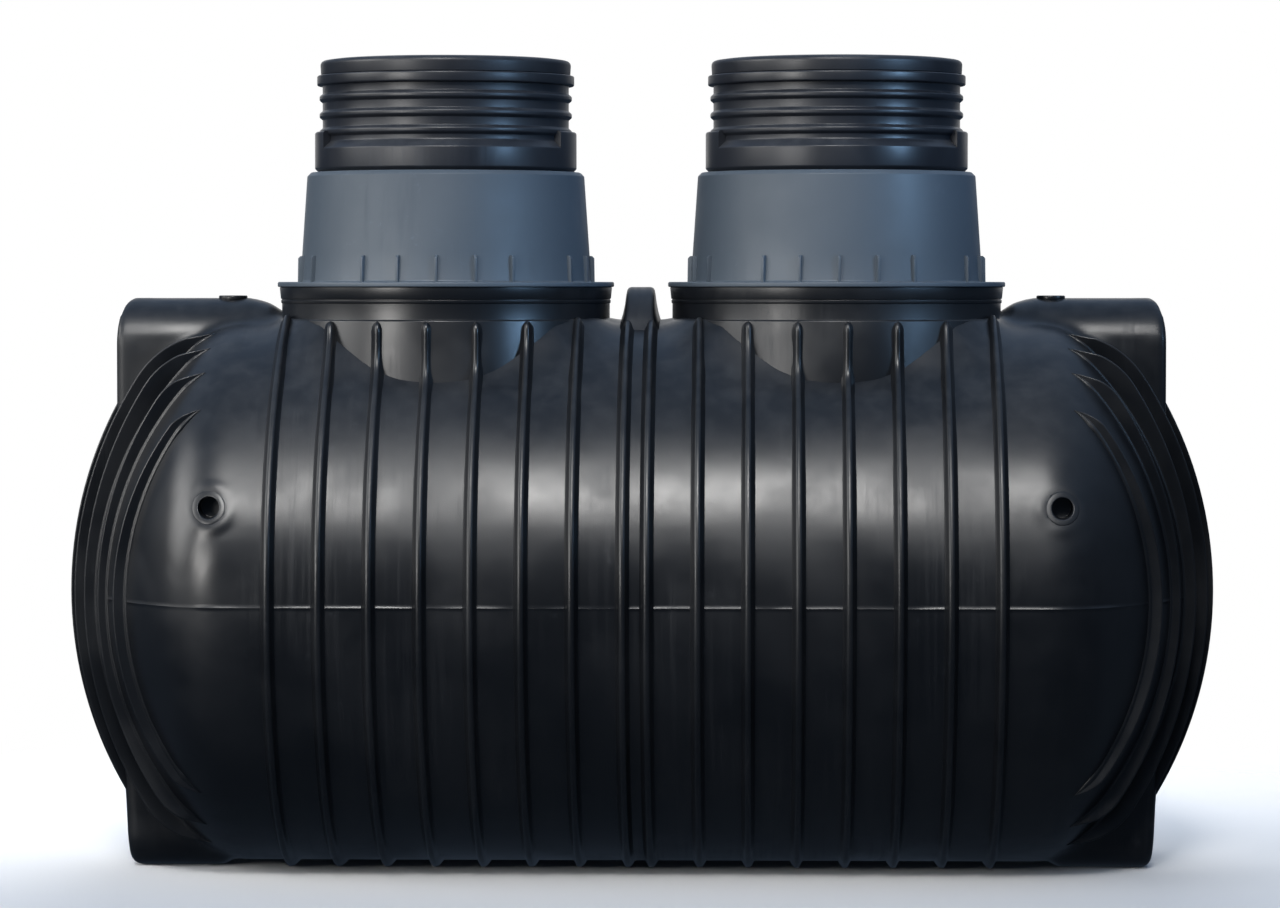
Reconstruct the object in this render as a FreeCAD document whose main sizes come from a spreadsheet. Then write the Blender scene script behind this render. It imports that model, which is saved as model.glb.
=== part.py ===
import FreeCAD, Part
import Sketcher
import os
import re

# Underground rainwater tank: a ribbed round barrel with domed ends, two necks, cones, risers and lids.
# Millimetres. X runs along the barrel, Z is up, the origin is on the floor under the middle.

DRIVING_SIZES = [
    ("barrel_radius", 700, "outside radius of the round wall"),
    ("barrel_half_length", 1010, "middle of the tank to the start of an end"),
    ("wall", 10, "thickness of the moulded shell"),
    ("ground_gap", 5, "lowest line of the round wall above the floor"),
    ("end_depth", 412, "depth of a domed end"),
    ("knuckle_radius", 205, "bend between the round wall and the crown of an end"),
    ("rib_count", 7, "ring ribs on each side beyond the middle pair"),
    ("rib_middle_offset", 30, "middle of the tank to the first ring rib"),
    ("rib_end_margin", 112, "last ring rib to the start of an end"),
    ("rib_height", 20, "ring rib above the round wall"),
    ("rib_base_width", 30, "ring rib at its root"),
    ("rib_crest_width", 13, "ring rib at its crest"),
    ("rib_crest_round", 5, "rounding of the ring ribs' crest edges"),
    ("rib_top_gap", 2, "top of the ring ribs below the top of the barrel"),
    ("fin_count", 5, "end fins on each side of the middle plane"),
    ("fin_pitch", 109, "distance between end fins"),
    ("fin_thickness", 16, "end fin across its plate"),
    ("fin_height", 55, "middle of the fins' crest line above the apex of the end"),
    ("fin_start", 75, "tips of the fins beyond the start of an end"),
    ("fin_crown_depth", 127, "depth of the flatter middle stretch of a fin's crest"),
    ("fin_plan_slope", 30, "degrees that the crests of the outer fins fall back, seen from above"),
    ("fin_plan_round", 148, "bend of that crest line at the middle plane"),
    ("stub_half_width", 125, "half width and arch radius of a pipe stub"),
    ("stub_rise", 56, "top of a pipe stub above the barrel"),
    ("stub_setback", 78, "face of a pipe stub behind the apex of the end"),
    ("stub_overlap", 23, "pipe stub reaching in over the barrel past the edge of the neck"),
    ("stub_rim_round", 18, "rounding round the face of a pipe stub"),
    ("stub_back_round", 87, "rounding at the inner end of a pipe stub"),
    ("pipe_pad_radius", 70, "flat round pad on the face of a pipe stub, where a pipe is let in"),
    ("pipe_pad_height", 3, "pipe pad above the face of a stub"),
    ("foot_half_width", 186, "half width of a foot"),
    ("foot_setback", 88, "face of a foot behind the apex of the end"),
    ("foot_start", 55, "inner end of a foot beyond the start of an end"),
    ("foot_corner_round", 80, "lower corners of a foot seen from the end"),
    ("foot_rim_round", 34, "rounding round the face of a foot"),
    ("foot_face_wall", 21, "thickness of the face of a foot"),
    ("boss_radius", 37, "vent boss on top of a pipe stub"),
    ("boss_height", 6, "vent boss above the stub"),
    ("boss_setback", 286, "vent boss behind the face of the stub"),
    ("socket_hole_radius", 25, "lifting socket"),
    ("socket_tube_radius", 34, "wall round a lifting socket"),
    ("socket_seat_radius", 44, "raised seat round a lifting socket"),
    ("socket_seat_height", 8, "raised seat above the shell"),
    ("socket_depth", 60, "depth of a lifting socket"),
    ("socket_floor", 9, "closed inner end of a lifting socket"),
    ("socket_beyond_barrel", 36, "lifting socket beyond the start of an end"),
    ("socket_height", 243, "lifting socket above the seam"),
    ("lug_half_width", 36, "half width of the middle lug at its top"),
    ("lug_half_foot", 48, "half width of the middle lug at its foot"),
    ("lug_rise", 84, "middle lug above the barrel"),
    ("lug_flare", 60, "height over which the lug flares to its foot"),
    ("lug_half_span", 200, "half length of the lug across the barrel"),
    ("lug_drop", 144, "fall of the lug from its top to its ends"),
    ("neck_end_margin", 505, "centre of a neck to the start of an end"),
    ("neck_radius", 428, "outside radius of a neck at its foot"),
    ("neck_step", 4, "neck narrowing at its shoulder"),
    ("neck_wall", 14, "thickness of a neck"),
    ("neck_sink", 40, "foot of a neck below the lowest line where it meets the barrel"),
    ("neck_rise", 42, "top of a neck above the barrel"),
    ("collar_height", 42, "flange ring on a neck"),
    ("collar_lip", 6, "flange ring beyond the neck"),
    ("collar_draft", 4, "flange ring narrowing downwards"),
    ("cone_flange_lip", 11, "base flange of a cone beyond the neck"),
    ("cone_flange", 13, "thickness of the base flange of a cone"),
    ("cone_inset", 49, "foot of the cone wall inside the neck"),
    ("cone_taper", 17, "cone narrowing to its top"),
    ("cone_height", 282, "cone above its base flange"),
    ("cone_wall", 8, "thickness of a cone"),
    ("cone_bevel", 10, "bevel round the top of a cone"),
    ("gusset_step", 15, "degrees between gussets"),
    ("gusset_height", 67, "gussets round the foot of a cone"),
    ("gusset_reach", 10, "gussets beyond the cone wall"),
    ("gusset_thickness", 7, "plate of a gusset"),
    ("riser_inset", 20, "riser foot ring inside the top of the cone"),
    ("riser_wall", 10, "thickness of a riser"),
    ("riser_ring", 20, "riser foot ring beyond the riser wall"),
    ("riser_ring_height", 60, "riser foot ring above the cone"),
    ("riser_ring_slope", 18, "slope on top of the riser foot ring"),
    ("riser_ring_bevel", 9, "bevel under the riser foot ring"),
    ("riser_lug_height", 104, "side lugs of a riser above the cone"),
    ("riser_lug_angle", 52, "degrees that a side lug spans"),
    ("riser_rib_first", 91, "lowest round rib above the cone"),
    ("riser_rib_pitch", 44, "distance between round ribs"),
    ("riser_rib_count", 3, "round ribs on a riser"),
    ("riser_rib_height", 23, "round rib from edge to edge"),
    ("riser_rib_reach", 8, "round rib beyond the riser wall"),
    ("riser_rim_reach", 14, "rim of a riser beyond its wall"),
    ("riser_rim_round", 5, "rounding of the edges of a riser rim"),
    ("riser_rim_height", 26, "rim of a riser from edge to edge"),
    ("riser_spigot", 90, "riser reaching down into the cone"),
    ("riser_clearance", 2, "riser inside the mouth of the cone"),
    ("lid_reach", 6, "lid beyond the riser wall"),
    ("lid_height", 41, "lid above the rim of a riser"),
    ("lid_round", 11, "rounding round the top of a lid"),
    ("lid_wall", 8, "thickness of a lid"),
]

# Heights above the floor and lengths that follow from the driving sizes
AXIS = "(barrel_radius + ground_gap)"
BARREL_TOP = "(2 * barrel_radius + ground_gap)"
APEX = "(barrel_half_length + end_depth)"
NECK_X = "(barrel_half_length - neck_end_margin)"
NECK_UPPER = "(neck_radius - neck_step)"
NECK_BORE = "(neck_radius - neck_step - neck_wall)"
NECK_FOOT = f"({AXIS} + sqrt(pow(barrel_radius; 2) - pow(neck_radius; 2)) - neck_sink)"
NECK_TOP = f"({BARREL_TOP} + neck_rise)"
COLLAR_TOP = f"({NECK_TOP} + collar_height)"
CONE_FOOT = f"({COLLAR_TOP} + cone_flange)"
CONE_TOP = f"({CONE_FOOT} + cone_height)"
CONE_FOOT_RADIUS = f"({NECK_UPPER} - cone_inset)"
CONE_TOP_RADIUS = f"({CONE_FOOT_RADIUS} - cone_taper)"
RISER_RING_RADIUS = f"({CONE_TOP_RADIUS} - riser_inset)"
RISER_RADIUS = f"({RISER_RING_RADIUS} - riser_ring)"
RISER_BORE = f"({RISER_RADIUS} - riser_wall)"
RISER_SPIGOT_RADIUS = f"({RISER_RADIUS} - riser_clearance)"
RISER_RIM = f"({CONE_TOP} + riser_rib_first + riser_rib_count * riser_rib_pitch)"
RISER_TOP = f"({RISER_RIM} + riser_rim_height)"
STUB_FACE = f"({APEX} - stub_setback)"
STUB_START = f"({NECK_X} + neck_radius - stub_overlap)"
STUB_CAVITY_START = "(barrel_half_length + wall)"
STUB_SPRING = f"({BARREL_TOP} + stub_rise - stub_half_width)"
FOOT_FACE = f"({APEX} - foot_setback)"
FOOT_START = "(barrel_half_length + foot_start)"
LUG_TOP = f"({BARREL_TOP} + lug_rise)"
RIB_TOP = f"({BARREL_TOP} - rib_top_gap)"
RIB_PITCH = "((barrel_half_length - rib_end_margin - rib_middle_offset) / rib_count)"

SIDES = (("left", 180, -1), ("right", 0, 1))
FACES = (("front", -1), ("back", 1))
QUARTER_TURNS = (0, 90, 180, 270)
GUSSETS_PER_QUARTER = (-2, -1, 0, 1, 2)

doc = FreeCAD.newDocument("rainwater_tank")
sheet = doc.addObject("Spreadsheet::Sheet", "dims")
for row, (alias, size, meaning) in enumerate(DRIVING_SIZES, start=1):
    sheet.set(f"A{row}", meaning)
    sheet.set(f"B{row}", str(size))
    sheet.setAlias(f"B{row}", alias)
doc.recompute()

ALIASES = {alias for alias, size, meaning in DRIVING_SIZES}
subparts = []


def in_sheet(text):
    """Point the words of an expression at the cells of the sheet."""
    return re.sub(r"[a-z_]+", lambda word: f"dims.{word[0]}" if word[0] in ALIASES else word[0], text)


def number(text):
    return float(sheet.evalExpression(in_sheet(text)))


def tie(item, prop, text):
    item.setExpression(prop, in_sheet(text))


def keep(item, label):
    """List an object as a sub-part under its own label."""
    item.Label = label
    subparts.append(item)
    return item


def place(item, x="0", y="0", z="0", yaw=0, roll=0):
    """Turn an object about X, then about Z, and tie its position to the sheet."""
    turn = FreeCAD.Rotation(FreeCAD.Vector(0, 0, 1), yaw)
    tilt = FreeCAD.Rotation(FreeCAD.Vector(1, 0, 0), roll)
    item.Placement = FreeCAD.Placement(FreeCAD.Vector(number(x), number(y), number(z)), turn * tilt)
    for axis, text in zip("xyz", (x, y, z)):
        tie(item, f"Placement.Base.{axis}", text)
    return item


def plane(body, role):
    return next(item for item in body.Origin.OriginFeatures if item.Role == role)


def arc_middle(start, end, radius, turn):
    """Point half way along the short arc from start to end; turn is 1 to the left and -1 to the right."""
    chord = end - start
    half = chord.Length / 2
    sagitta = radius - max(radius ** 2 - half ** 2, 0) ** 0.5
    outward = FreeCAD.Vector(chord.y, -chord.x, 0).normalize()
    return (start + end) * 0.5 + outward * sagitta * turn


def outline(body, role, corners, arcs=None, offset="0"):
    """Closed sketch through corners; arcs gives the radius and the turn of each round edge."""
    arcs = arcs or {}
    sketch = body.newObject("Sketcher::SketchObject", f"{body.Name}_outline")
    sketch.AttachmentSupport = [(plane(body, role), "")]
    sketch.MapMode = "FlatFace"
    tie(sketch, "AttachmentOffset.Base.z", offset)
    points = [FreeCAD.Vector(number(u), number(v), 0) for u, v in corners]
    ends = []
    for edge, start in enumerate(points):
        end = points[(edge + 1) % len(points)]
        radius, turn = arcs.get(edge, (None, 1))
        if radius:
            sketch.addGeometry(Part.Arc(start, arc_middle(start, end, number(radius), turn), end))
        else:
            sketch.addGeometry(Part.LineSegment(start, end))
        ends.append((1, 2) if turn > 0 else (2, 1))
    for edge, (first, last) in enumerate(ends):
        following = (edge + 1) % len(ends)
        sketch.addConstraint(Sketcher.Constraint("Coincident", edge, last, following, ends[following][0]))
        for kind, axis, text in zip(("DistanceX", "DistanceY"), (-2, -1), corners[edge]):
            if text == "0":
                sketch.addConstraint(Sketcher.Constraint("PointOnObject", edge, first, axis))
            else:
                held = sketch.addConstraint(Sketcher.Constraint(kind, -1, 1, edge, first, number(text)))
                tie(sketch, f"Constraints[{held}]", text)
    for edge, (radius, turn) in arcs.items():
        held = sketch.addConstraint(Sketcher.Constraint("Radius", edge, number(radius)))
        tie(sketch, f"Constraints[{held}]", radius)
    return sketch


def revolved(name, corners, axis, arcs=None, sweep="360"):
    """Body made by turning an outline on the XZ plane about its own H_Axis or V_Axis."""
    body = doc.addObject("PartDesign::Body", name)
    sketch = outline(body, "XZ_Plane", corners, arcs)
    feature = body.newObject("PartDesign::Revolution", f"{body.Name}_turn")
    feature.Profile = sketch
    feature.ReferenceAxis = (sketch, [axis])
    feature.Midplane = True
    tie(feature, "Angle", sweep)
    return body


def padded(name, role, corners, length, arcs=None, offset="0", symmetric=False):
    """Body made by pushing an outline out along the normal of its plane."""
    body = doc.addObject("PartDesign::Body", name)
    sketch = outline(body, role, corners, arcs, offset)
    feature = body.newObject("PartDesign::Pad", f"{body.Name}_pad")
    feature.Profile = sketch
    feature.SideType = "Symmetric" if symmetric else "One side"
    tie(feature, "Length", length)
    return body


def round_edges(body, radius, wanted):
    """Fillet the edges of a body whose two ends both satisfy wanted."""
    doc.recompute()
    base = body.Tip
    names = []
    for index, edge in enumerate(base.Shape.Edges, start=1):
        if all(wanted(vertex.Point) for vertex in edge.Vertexes):
            names.append(f"Edge{index}")
    fillet = body.newObject("PartDesign::Fillet", f"{body.Name}_fillet")
    fillet.Base = (base, names)
    tie(fillet, "Radius", radius)
    return body


def cylinder(name, radius, height):
    item = doc.addObject("Part::Cylinder", name)
    tie(item, "Radius", radius)
    tie(item, "Height", height)
    return item


def box(name, length, width, height):
    item = doc.addObject("Part::Box", name)
    for prop, text in (("Length", length), ("Width", width), ("Height", height)):
        tie(item, prop, text)
    return item


def cut(base, *tools):
    for tool in tools:
        result = doc.addObject("Part::Cut", f"{base.Name}_cut")
        result.Base = base
        result.Tool = tool
        base = result
    return base


def fused(name, items):
    result = doc.addObject("Part::MultiFuse", name)
    result.Shapes = list(items)
    return result


def common(name, items):
    result = doc.addObject("Part::MultiCommon", name)
    result.Shapes = list(items)
    return result


def crown_radius(radius, depth, knuckle):
    """Crown of a dished end of the given radius and depth, tangent to its knuckle."""
    return (f"((pow({radius} - {knuckle}; 2) + pow({depth}; 2) - pow({knuckle}; 2))"
            f" / (2 * ({depth} - {knuckle})))")


def dished_end(start, radius, depth, knuckle, inset="0"):
    """Corner and the two radii of a dished end, moved inwards by inset along its normals."""
    crown = crown_radius(radius, depth, knuckle)
    centre = f"({start} + {depth} - {crown})"
    share = f"(({crown} - {inset}) / ({crown} - {knuckle}))"
    corner = (f"{centre} + ({start} - {centre}) * {share}", f"({radius} - {knuckle}) * {share}")
    return corner, f"{knuckle} - {inset}", f"{crown} - {inset}"


END = ("barrel_half_length", "barrel_radius", "end_depth", "knuckle_radius")
end_corner, end_knuckle, end_crown = dished_end(*END)
inner_corner, inner_knuckle, inner_crown = dished_end(*END, inset="wall")


# Whole outer form, used to trim what stands on it
def round_form():
    corner_x, corner_r = end_corner
    corners = [
        (f"-{APEX}", "0"), (APEX, "0"), end_corner, ("barrel_half_length", "barrel_radius"),
        ("-barrel_half_length", "barrel_radius"), (f"-({corner_x})", corner_r)]
    arcs = {1: (end_crown, 1), 2: (end_knuckle, 1), 4: (end_knuckle, 1), 5: (end_crown, 1)}
    return place(revolved("round_form", corners, "H_Axis", arcs), z=AXIS)


def half_barrel(name, roll):
    inner = "barrel_radius - wall"
    corners = [
        ("barrel_radius", "0"), ("0", "barrel_radius"), ("-barrel_radius", "0"),
        (f"-({inner})", "0"), ("0", inner), (inner, "0")]
    arcs = {0: ("barrel_radius", 1), 1: ("barrel_radius", 1), 3: (inner, -1), 4: (inner, -1)}
    body = padded(name, "YZ_Plane", corners, "2 * barrel_half_length", arcs, symmetric=True)
    return place(body, z=AXIS, roll=roll)


def half_end(name, yaw, roll):
    corners = [
        ("barrel_half_length", "barrel_radius - wall"), inner_corner, (f"{APEX} - wall", "0"),
        (APEX, "0"), end_corner, ("barrel_half_length", "barrel_radius")]
    arcs = {
        0: (inner_knuckle, -1), 1: (inner_crown, -1), 3: (end_crown, 1), 4: (end_knuckle, 1)}
    return place(revolved(name, corners, "H_Axis", arcs, sweep="180"), z=AXIS, yaw=yaw, roll=roll)


# Pipe stubs: arched boxes on the shoulders of the tank, open to its inside
def arch_block(name, yaw, start, face, half_width):
    corners = [
        (half_width, AXIS), (half_width, STUB_SPRING), ("0", f"{STUB_SPRING} + {half_width}"),
        (f"-({half_width})", STUB_SPRING), (f"-({half_width})", AXIS)]
    arcs = {1: (half_width, 1), 2: (half_width, 1)}
    body = padded(name, "YZ_Plane", corners, f"{face} - ({start})", arcs, offset=start)
    return place(body, yaw=yaw)


def stub_block(side, yaw):
    body = arch_block(f"{side}_stub_block", yaw, STUB_START, STUB_FACE, "stub_half_width")
    face_x = number(STUB_FACE)
    start_x = number(STUB_START)
    axis_z = number(AXIS)
    round_edges(body, "stub_rim_round", lambda point: abs(point.x - face_x) < 1 and point.z > axis_z - 1)
    round_edges(body, "stub_back_round", lambda point: abs(point.x - start_x) < 1 and point.z > axis_z - 1)
    return body


def pipe_pad(side, sign):
    """Flat round pad on the middle of the stub's arch."""
    pad = cylinder(f"{side}_pipe_pad", "pipe_pad_radius", "wall + pipe_pad_height")
    pad.Placement.Rotation = FreeCAD.Rotation(FreeCAD.Vector(0, 1, 0), 90 * sign)
    tie(pad, "Placement.Base.x", f"{sign} * ({STUB_FACE} - wall)")
    tie(pad, "Placement.Base.z", STUB_SPRING)
    return pad


def stub_cavity(side, yaw):
    return arch_block(
        f"{side}_stub_cavity", yaw, STUB_CAVITY_START, f"{STUB_FACE} - wall", "stub_half_width - wall")


# Feet: hollow blocks under the ends with a level sole
def foot_form(name, yaw, start, face, half_width, sole, corner):
    corners = [
        (f"-({half_width})", AXIS), (f"-({half_width})", f"{sole} + {corner}"),
        (f"{corner} - ({half_width})", sole), (f"{half_width} - ({corner})", sole),
        (half_width, f"{sole} + {corner}"), (half_width, AXIS)]
    arcs = {1: (corner, 1), 3: (corner, 1)}
    body = padded(name, "YZ_Plane", corners, f"{face} - ({start})", arcs, offset=start)
    return place(body, yaw=yaw)


def foot_block(side, yaw):
    body = foot_form(
        f"{side}_foot_block", yaw, FOOT_START, FOOT_FACE, "foot_half_width", "0", "foot_corner_round")
    face_x = number(FOOT_FACE)
    axis_z = number(AXIS)
    return round_edges(
        body, "foot_rim_round", lambda point: abs(point.x - face_x) < 1 and point.z < axis_z + 1)


def foot_cavity(side, yaw):
    return foot_form(
        f"{side}_foot_cavity", yaw, f"{FOOT_START} + wall", f"{FOOT_FACE} - foot_face_wall",
        "foot_half_width - wall", "wall", "foot_corner_round - wall")


# Lifting sockets: blind cups let into the knuckles of the ends
def socket_tool(name, sign, face_sign, radius, reach, depth):
    """Round bar along Y from reach outside the shell to depth inside it."""
    shell = "(barrel_radius - knuckle_radius + sqrt(pow(knuckle_radius; 2) - pow(socket_beyond_barrel; 2)))"
    surface = f"sqrt(pow({shell}; 2) - pow(socket_height; 2))"
    item = cylinder(name, radius, f"{reach} + {depth}")
    item.Placement.Rotation = FreeCAD.Rotation(FreeCAD.Vector(1, 0, 0), -90 * face_sign)
    tie(item, "Placement.Base.x", f"{sign} * (barrel_half_length + socket_beyond_barrel)")
    tie(item, "Placement.Base.y", f"{face_sign} * ({surface} - ({depth}))")
    tie(item, "Placement.Base.z", f"{AXIS} + socket_height")
    return item


# Necks, flange rings, cones, risers and lids: turned about the upright axis of a neck
def upright(name, corners, sign, arcs=None):
    return place(revolved(name, corners, "V_Axis", arcs), x=f"{sign} * {NECK_X}")


def neck_block(side, sign):
    shoulder = f"{BARREL_TOP} - neck_step / 2"
    corners = [
        (NECK_BORE, NECK_FOOT), ("neck_radius", NECK_FOOT), ("neck_radius", shoulder),
        (NECK_UPPER, f"{shoulder} + neck_step"), (NECK_UPPER, NECK_TOP), (NECK_BORE, NECK_TOP)]
    return upright(f"{side}_neck_block", corners, sign)


def neck_collar(side, sign):
    rim = f"{NECK_UPPER} + collar_lip"
    corners = [
        (NECK_BORE, NECK_TOP), (f"{rim} - collar_draft", NECK_TOP), (rim, COLLAR_TOP),
        (NECK_BORE, COLLAR_TOP)]
    return upright(f"{side}_neck_collar", corners, sign)


def cone_wall(side, sign):
    lip = f"{RISER_SPIGOT_RADIUS} + riser_clearance"
    flange = f"{NECK_UPPER} + cone_flange_lip"
    corners = [
        (f"{CONE_FOOT_RADIUS} - cone_wall", COLLAR_TOP), (flange, COLLAR_TOP), (flange, CONE_FOOT),
        (CONE_FOOT_RADIUS, CONE_FOOT), (CONE_TOP_RADIUS, f"{CONE_TOP} - cone_bevel"),
        (f"{CONE_TOP_RADIUS} - cone_bevel", CONE_TOP), (lip, CONE_TOP), (lip, f"{CONE_TOP} - cone_wall"),
        (f"{CONE_TOP_RADIUS} - cone_bevel - cone_wall", f"{CONE_TOP} - cone_wall")]
    return upright(f"{side}_cone_wall", corners, sign)


def gussets(side, sign):
    reach = f"{CONE_FOOT_RADIUS} + gusset_reach"
    plates = []
    for quarter in QUARTER_TURNS:
        for step in GUSSETS_PER_QUARTER:
            plate = box(f"{side}_gusset", "gusset_reach + cone_wall", "gusset_thickness", "gusset_height")
            angle = f"({quarter} + {step} * gusset_step)"
            inner = f"({reach} - gusset_reach - cone_wall)"
            along = f"{inner} * cos({angle} * 1deg)"
            across = f"{inner} * sin({angle} * 1deg)"
            plate.Placement.Rotation = FreeCAD.Rotation(FreeCAD.Vector(0, 0, 1), number(angle))
            tie(plate, "Placement.Rotation.Angle", angle)
            tie(plate, "Placement.Base.x",
                f"{sign} * {NECK_X} + {along} + gusset_thickness / 2 * sin({angle} * 1deg)")
            tie(plate, "Placement.Base.y", f"{across} - gusset_thickness / 2 * cos({angle} * 1deg)")
            tie(plate, "Placement.Base.z", CONE_FOOT)
            plates.append(plate)
    return plates


def riser(side, sign):
    spigot_foot = f"{CONE_TOP} - riser_spigot"
    ring_top = f"{CONE_TOP} + riser_ring_height"
    rim = f"{RISER_RADIUS} + riser_rim_reach"
    corners = [
        (RISER_BORE, spigot_foot), (RISER_SPIGOT_RADIUS, spigot_foot),
        (RISER_SPIGOT_RADIUS, CONE_TOP), (f"{RISER_RING_RADIUS} - riser_ring_bevel", CONE_TOP),
        (RISER_RING_RADIUS, f"{CONE_TOP} + riser_ring_bevel"), (RISER_RING_RADIUS, ring_top),
        (RISER_RADIUS, f"{ring_top} + riser_ring_slope")]
    arcs = {}
    bulge = "((pow(riser_rib_height / 2; 2) + pow(riser_rib_reach; 2)) / (2 * riser_rib_reach))"
    for index in range(round(number("riser_rib_count"))):
        foot = f"{CONE_TOP} + riser_rib_first + {index} * riser_rib_pitch"
        arcs[len(corners)] = (bulge, 1)
        corners += [(RISER_RADIUS, foot), (RISER_RADIUS, f"{foot} + riser_rib_height")]
    arcs[len(corners) + 2] = ("riser_rim_round", 1)
    corners += [
        (RISER_RADIUS, RISER_RIM), (rim, RISER_RIM), (rim, f"{RISER_TOP} - riser_rim_round"),
        (f"{rim} - riser_rim_round", RISER_TOP), (RISER_BORE, RISER_TOP)]
    wall = upright(f"{side}_riser_wall", corners, sign, arcs)
    lug_foot = f"{CONE_TOP} + riser_ring_bevel"
    lug_top = f"{CONE_TOP} + riser_lug_height"
    lug_corners = [
        (RISER_RADIUS, lug_foot), (RISER_RING_RADIUS, lug_foot), (RISER_RING_RADIUS, lug_top),
        (RISER_RADIUS, lug_top)]
    lugs = []
    for yaw in (0, 180):
        lug = revolved(f"{side}_riser_lug", lug_corners, "V_Axis", sweep="riser_lug_angle")
        lugs.append(place(lug, x=f"{sign} * {NECK_X}", yaw=yaw))
    return fused(f"{side}_riser", [wall] + lugs)


def lid(side, sign):
    rim = f"({RISER_RADIUS} + lid_reach)"
    top = f"({RISER_TOP} + lid_height)"
    corners = [
        (f"{rim} - lid_wall", RISER_TOP), (rim, RISER_TOP), (rim, f"{top} - lid_round"),
        (f"{rim} - lid_round", top), ("0", top), ("0", f"{top} - lid_wall"),
        (f"{rim} - lid_wall", f"{top} - lid_wall - lid_round")]
    return upright(f"{side}_lid", corners, sign, {2: ("lid_round", 1)})


# Ring ribs: turned about the barrel, and carried up the front and back of a neck where they meet one
def level_slab(name, bottom, top):
    """Slab over the whole plan of the ribs, between two heights."""
    half_width = "(barrel_radius + rib_height)"
    slab = box(name, "2 * barrel_half_length", f"2 * {half_width}", f"{top} - {bottom}")
    return place(slab, x="-barrel_half_length", y=f"-{half_width}", z=bottom)


def rib_section(middle, face, turn):
    """Corners of a rib from root to root, standing on a face in the direction that turn says."""
    corners = []
    for side in (turn, -turn):
        half_crest = f"{side} * rib_crest_width / 2"
        root = (f"{middle} + {side} * rib_base_width / 2", face)
        shoulder = (f"{middle} + {half_crest}", f"{face} + {turn} * (rib_height - rib_crest_round)")
        crest = (f"{middle} + {half_crest} - {side} * rib_crest_round", f"{face} + {turn} * rib_height")
        corners += [root, shoulder, crest] if side == turn else [crest, shoulder, root]
    return corners


def ring_rib(name, sign, index, form, stub, neck_form, below_floor, above_ribs):
    middle = f"({sign} * (rib_middle_offset + {index} * {RIB_PITCH}))"
    root = "barrel_radius - wall / 2"
    corners = rib_section(middle, "barrel_radius", 1)
    corners += [(f"{middle} - rib_base_width / 2", root), (f"{middle} + rib_base_width / 2", root)]
    crest_edges = {1: ("rib_crest_round", 1), 3: ("rib_crest_round", 1)}
    ring = place(revolved(f"{name}_ring", corners, "H_Axis", crest_edges), z=AXIS)
    aside = f"({middle} - {sign} * {NECK_X})"
    if abs(number(aside)) >= number("neck_radius"):
        return cut(ring, form, stub, below_floor)
    face = f"sqrt(pow(neck_radius; 2) - pow({aside}; 2))"
    corners = rib_section(middle, face, 1) + rib_section(middle, f"-{face}", -1)
    crest_edges |= {7: ("rib_crest_round", 1), 9: ("rib_crest_round", 1)}
    strip = padded(f"{name}_strip", "XY_Plane", corners, f"{RIB_TOP} - {AXIS}", crest_edges, offset=AXIS)
    return cut(fused(f"{name}_whole", [ring, strip]), form, neck_form, below_floor, above_ribs)


# End fins: upright crescent plates, each with a crest that bends to a tip on the end
def fin_plate(name, yaw, middle):
    """Crescent at the distance middle from the middle plane, still with the end's own form inside it."""
    start = "(barrel_half_length + fin_start)"
    end_radius = "(barrel_radius - knuckle_radius + sqrt(pow(knuckle_radius; 2) - pow(fin_start; 2)))"
    tip = f"sqrt(pow({end_radius}; 2) - pow({middle}; 2))"
    fall = f"(sqrt(pow(fin_plan_round; 2) + pow({middle} * tan(fin_plan_slope * 1deg); 2)) - fin_plan_round)"
    depth = f"(end_depth + fin_height - fin_start - {fall})"
    (corner_x, corner_z), knuckle, crown = dished_end(start, tip, depth, f"({depth} - fin_crown_depth)")
    corners = [(start, f"-{tip}"), (corner_x, f"-({corner_z})"), (corner_x, corner_z), (start, tip)]
    arcs = {0: (knuckle, 1), 1: (crown, 1), 2: (knuckle, 1)}
    plate = padded(name, "XZ_Plane", corners, "fin_thickness", arcs, symmetric=True)
    return place(plate, y=middle, z=AXIS, yaw=yaw)


def end_fins(side, yaw, trims):
    plates = []
    for index in range(round(number("fin_count"))):
        for face in (-1, 1):
            plates.append(fin_plate(f"{side}_fin_plate", yaw, f"({face} * fin_pitch * ({index} + 0.5))"))
    return cut(fused(f"{side}_fins", plates), *trims)


# Middle lug: a hump across the barrel that grows out of the middle pair of ribs
def middle_lug(form, ribs):
    ends = f"{LUG_TOP} - lug_drop"
    hump = "((pow(lug_half_span; 2) + pow(lug_drop; 2)) / (2 * lug_drop))"
    side_view = padded(
        "lug_side_view", "YZ_Plane",
        [("lug_half_span", ends), ("0", LUG_TOP), ("-lug_half_span", ends)], "2 * lug_half_span",
        {0: (hump, 1), 1: (hump, 1)}, symmetric=True)
    spread = "(lug_half_foot - lug_half_width)"
    flare = f"((pow({spread}; 2) + pow(lug_flare; 2)) / (2 * {spread}))"
    low = f"{BARREL_TOP} + lug_rise - lug_drop"
    front_view = padded(
        "lug_front_view", "XZ_Plane",
        [("-lug_half_foot", low), ("lug_half_foot", low), ("lug_half_foot", BARREL_TOP),
         ("lug_half_width", f"{BARREL_TOP} + lug_flare"), ("lug_half_width", f"{LUG_TOP} + wall"),
         ("-lug_half_width", f"{LUG_TOP} + wall"), ("-lug_half_width", f"{BARREL_TOP} + lug_flare"),
         ("-lug_half_foot", BARREL_TOP)],
        "2 * lug_half_span", {2: (flare, -1), 6: (flare, -1)}, symmetric=True)
    return cut(common("lug_hump", [side_view, front_view]), form, *ribs)


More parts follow.
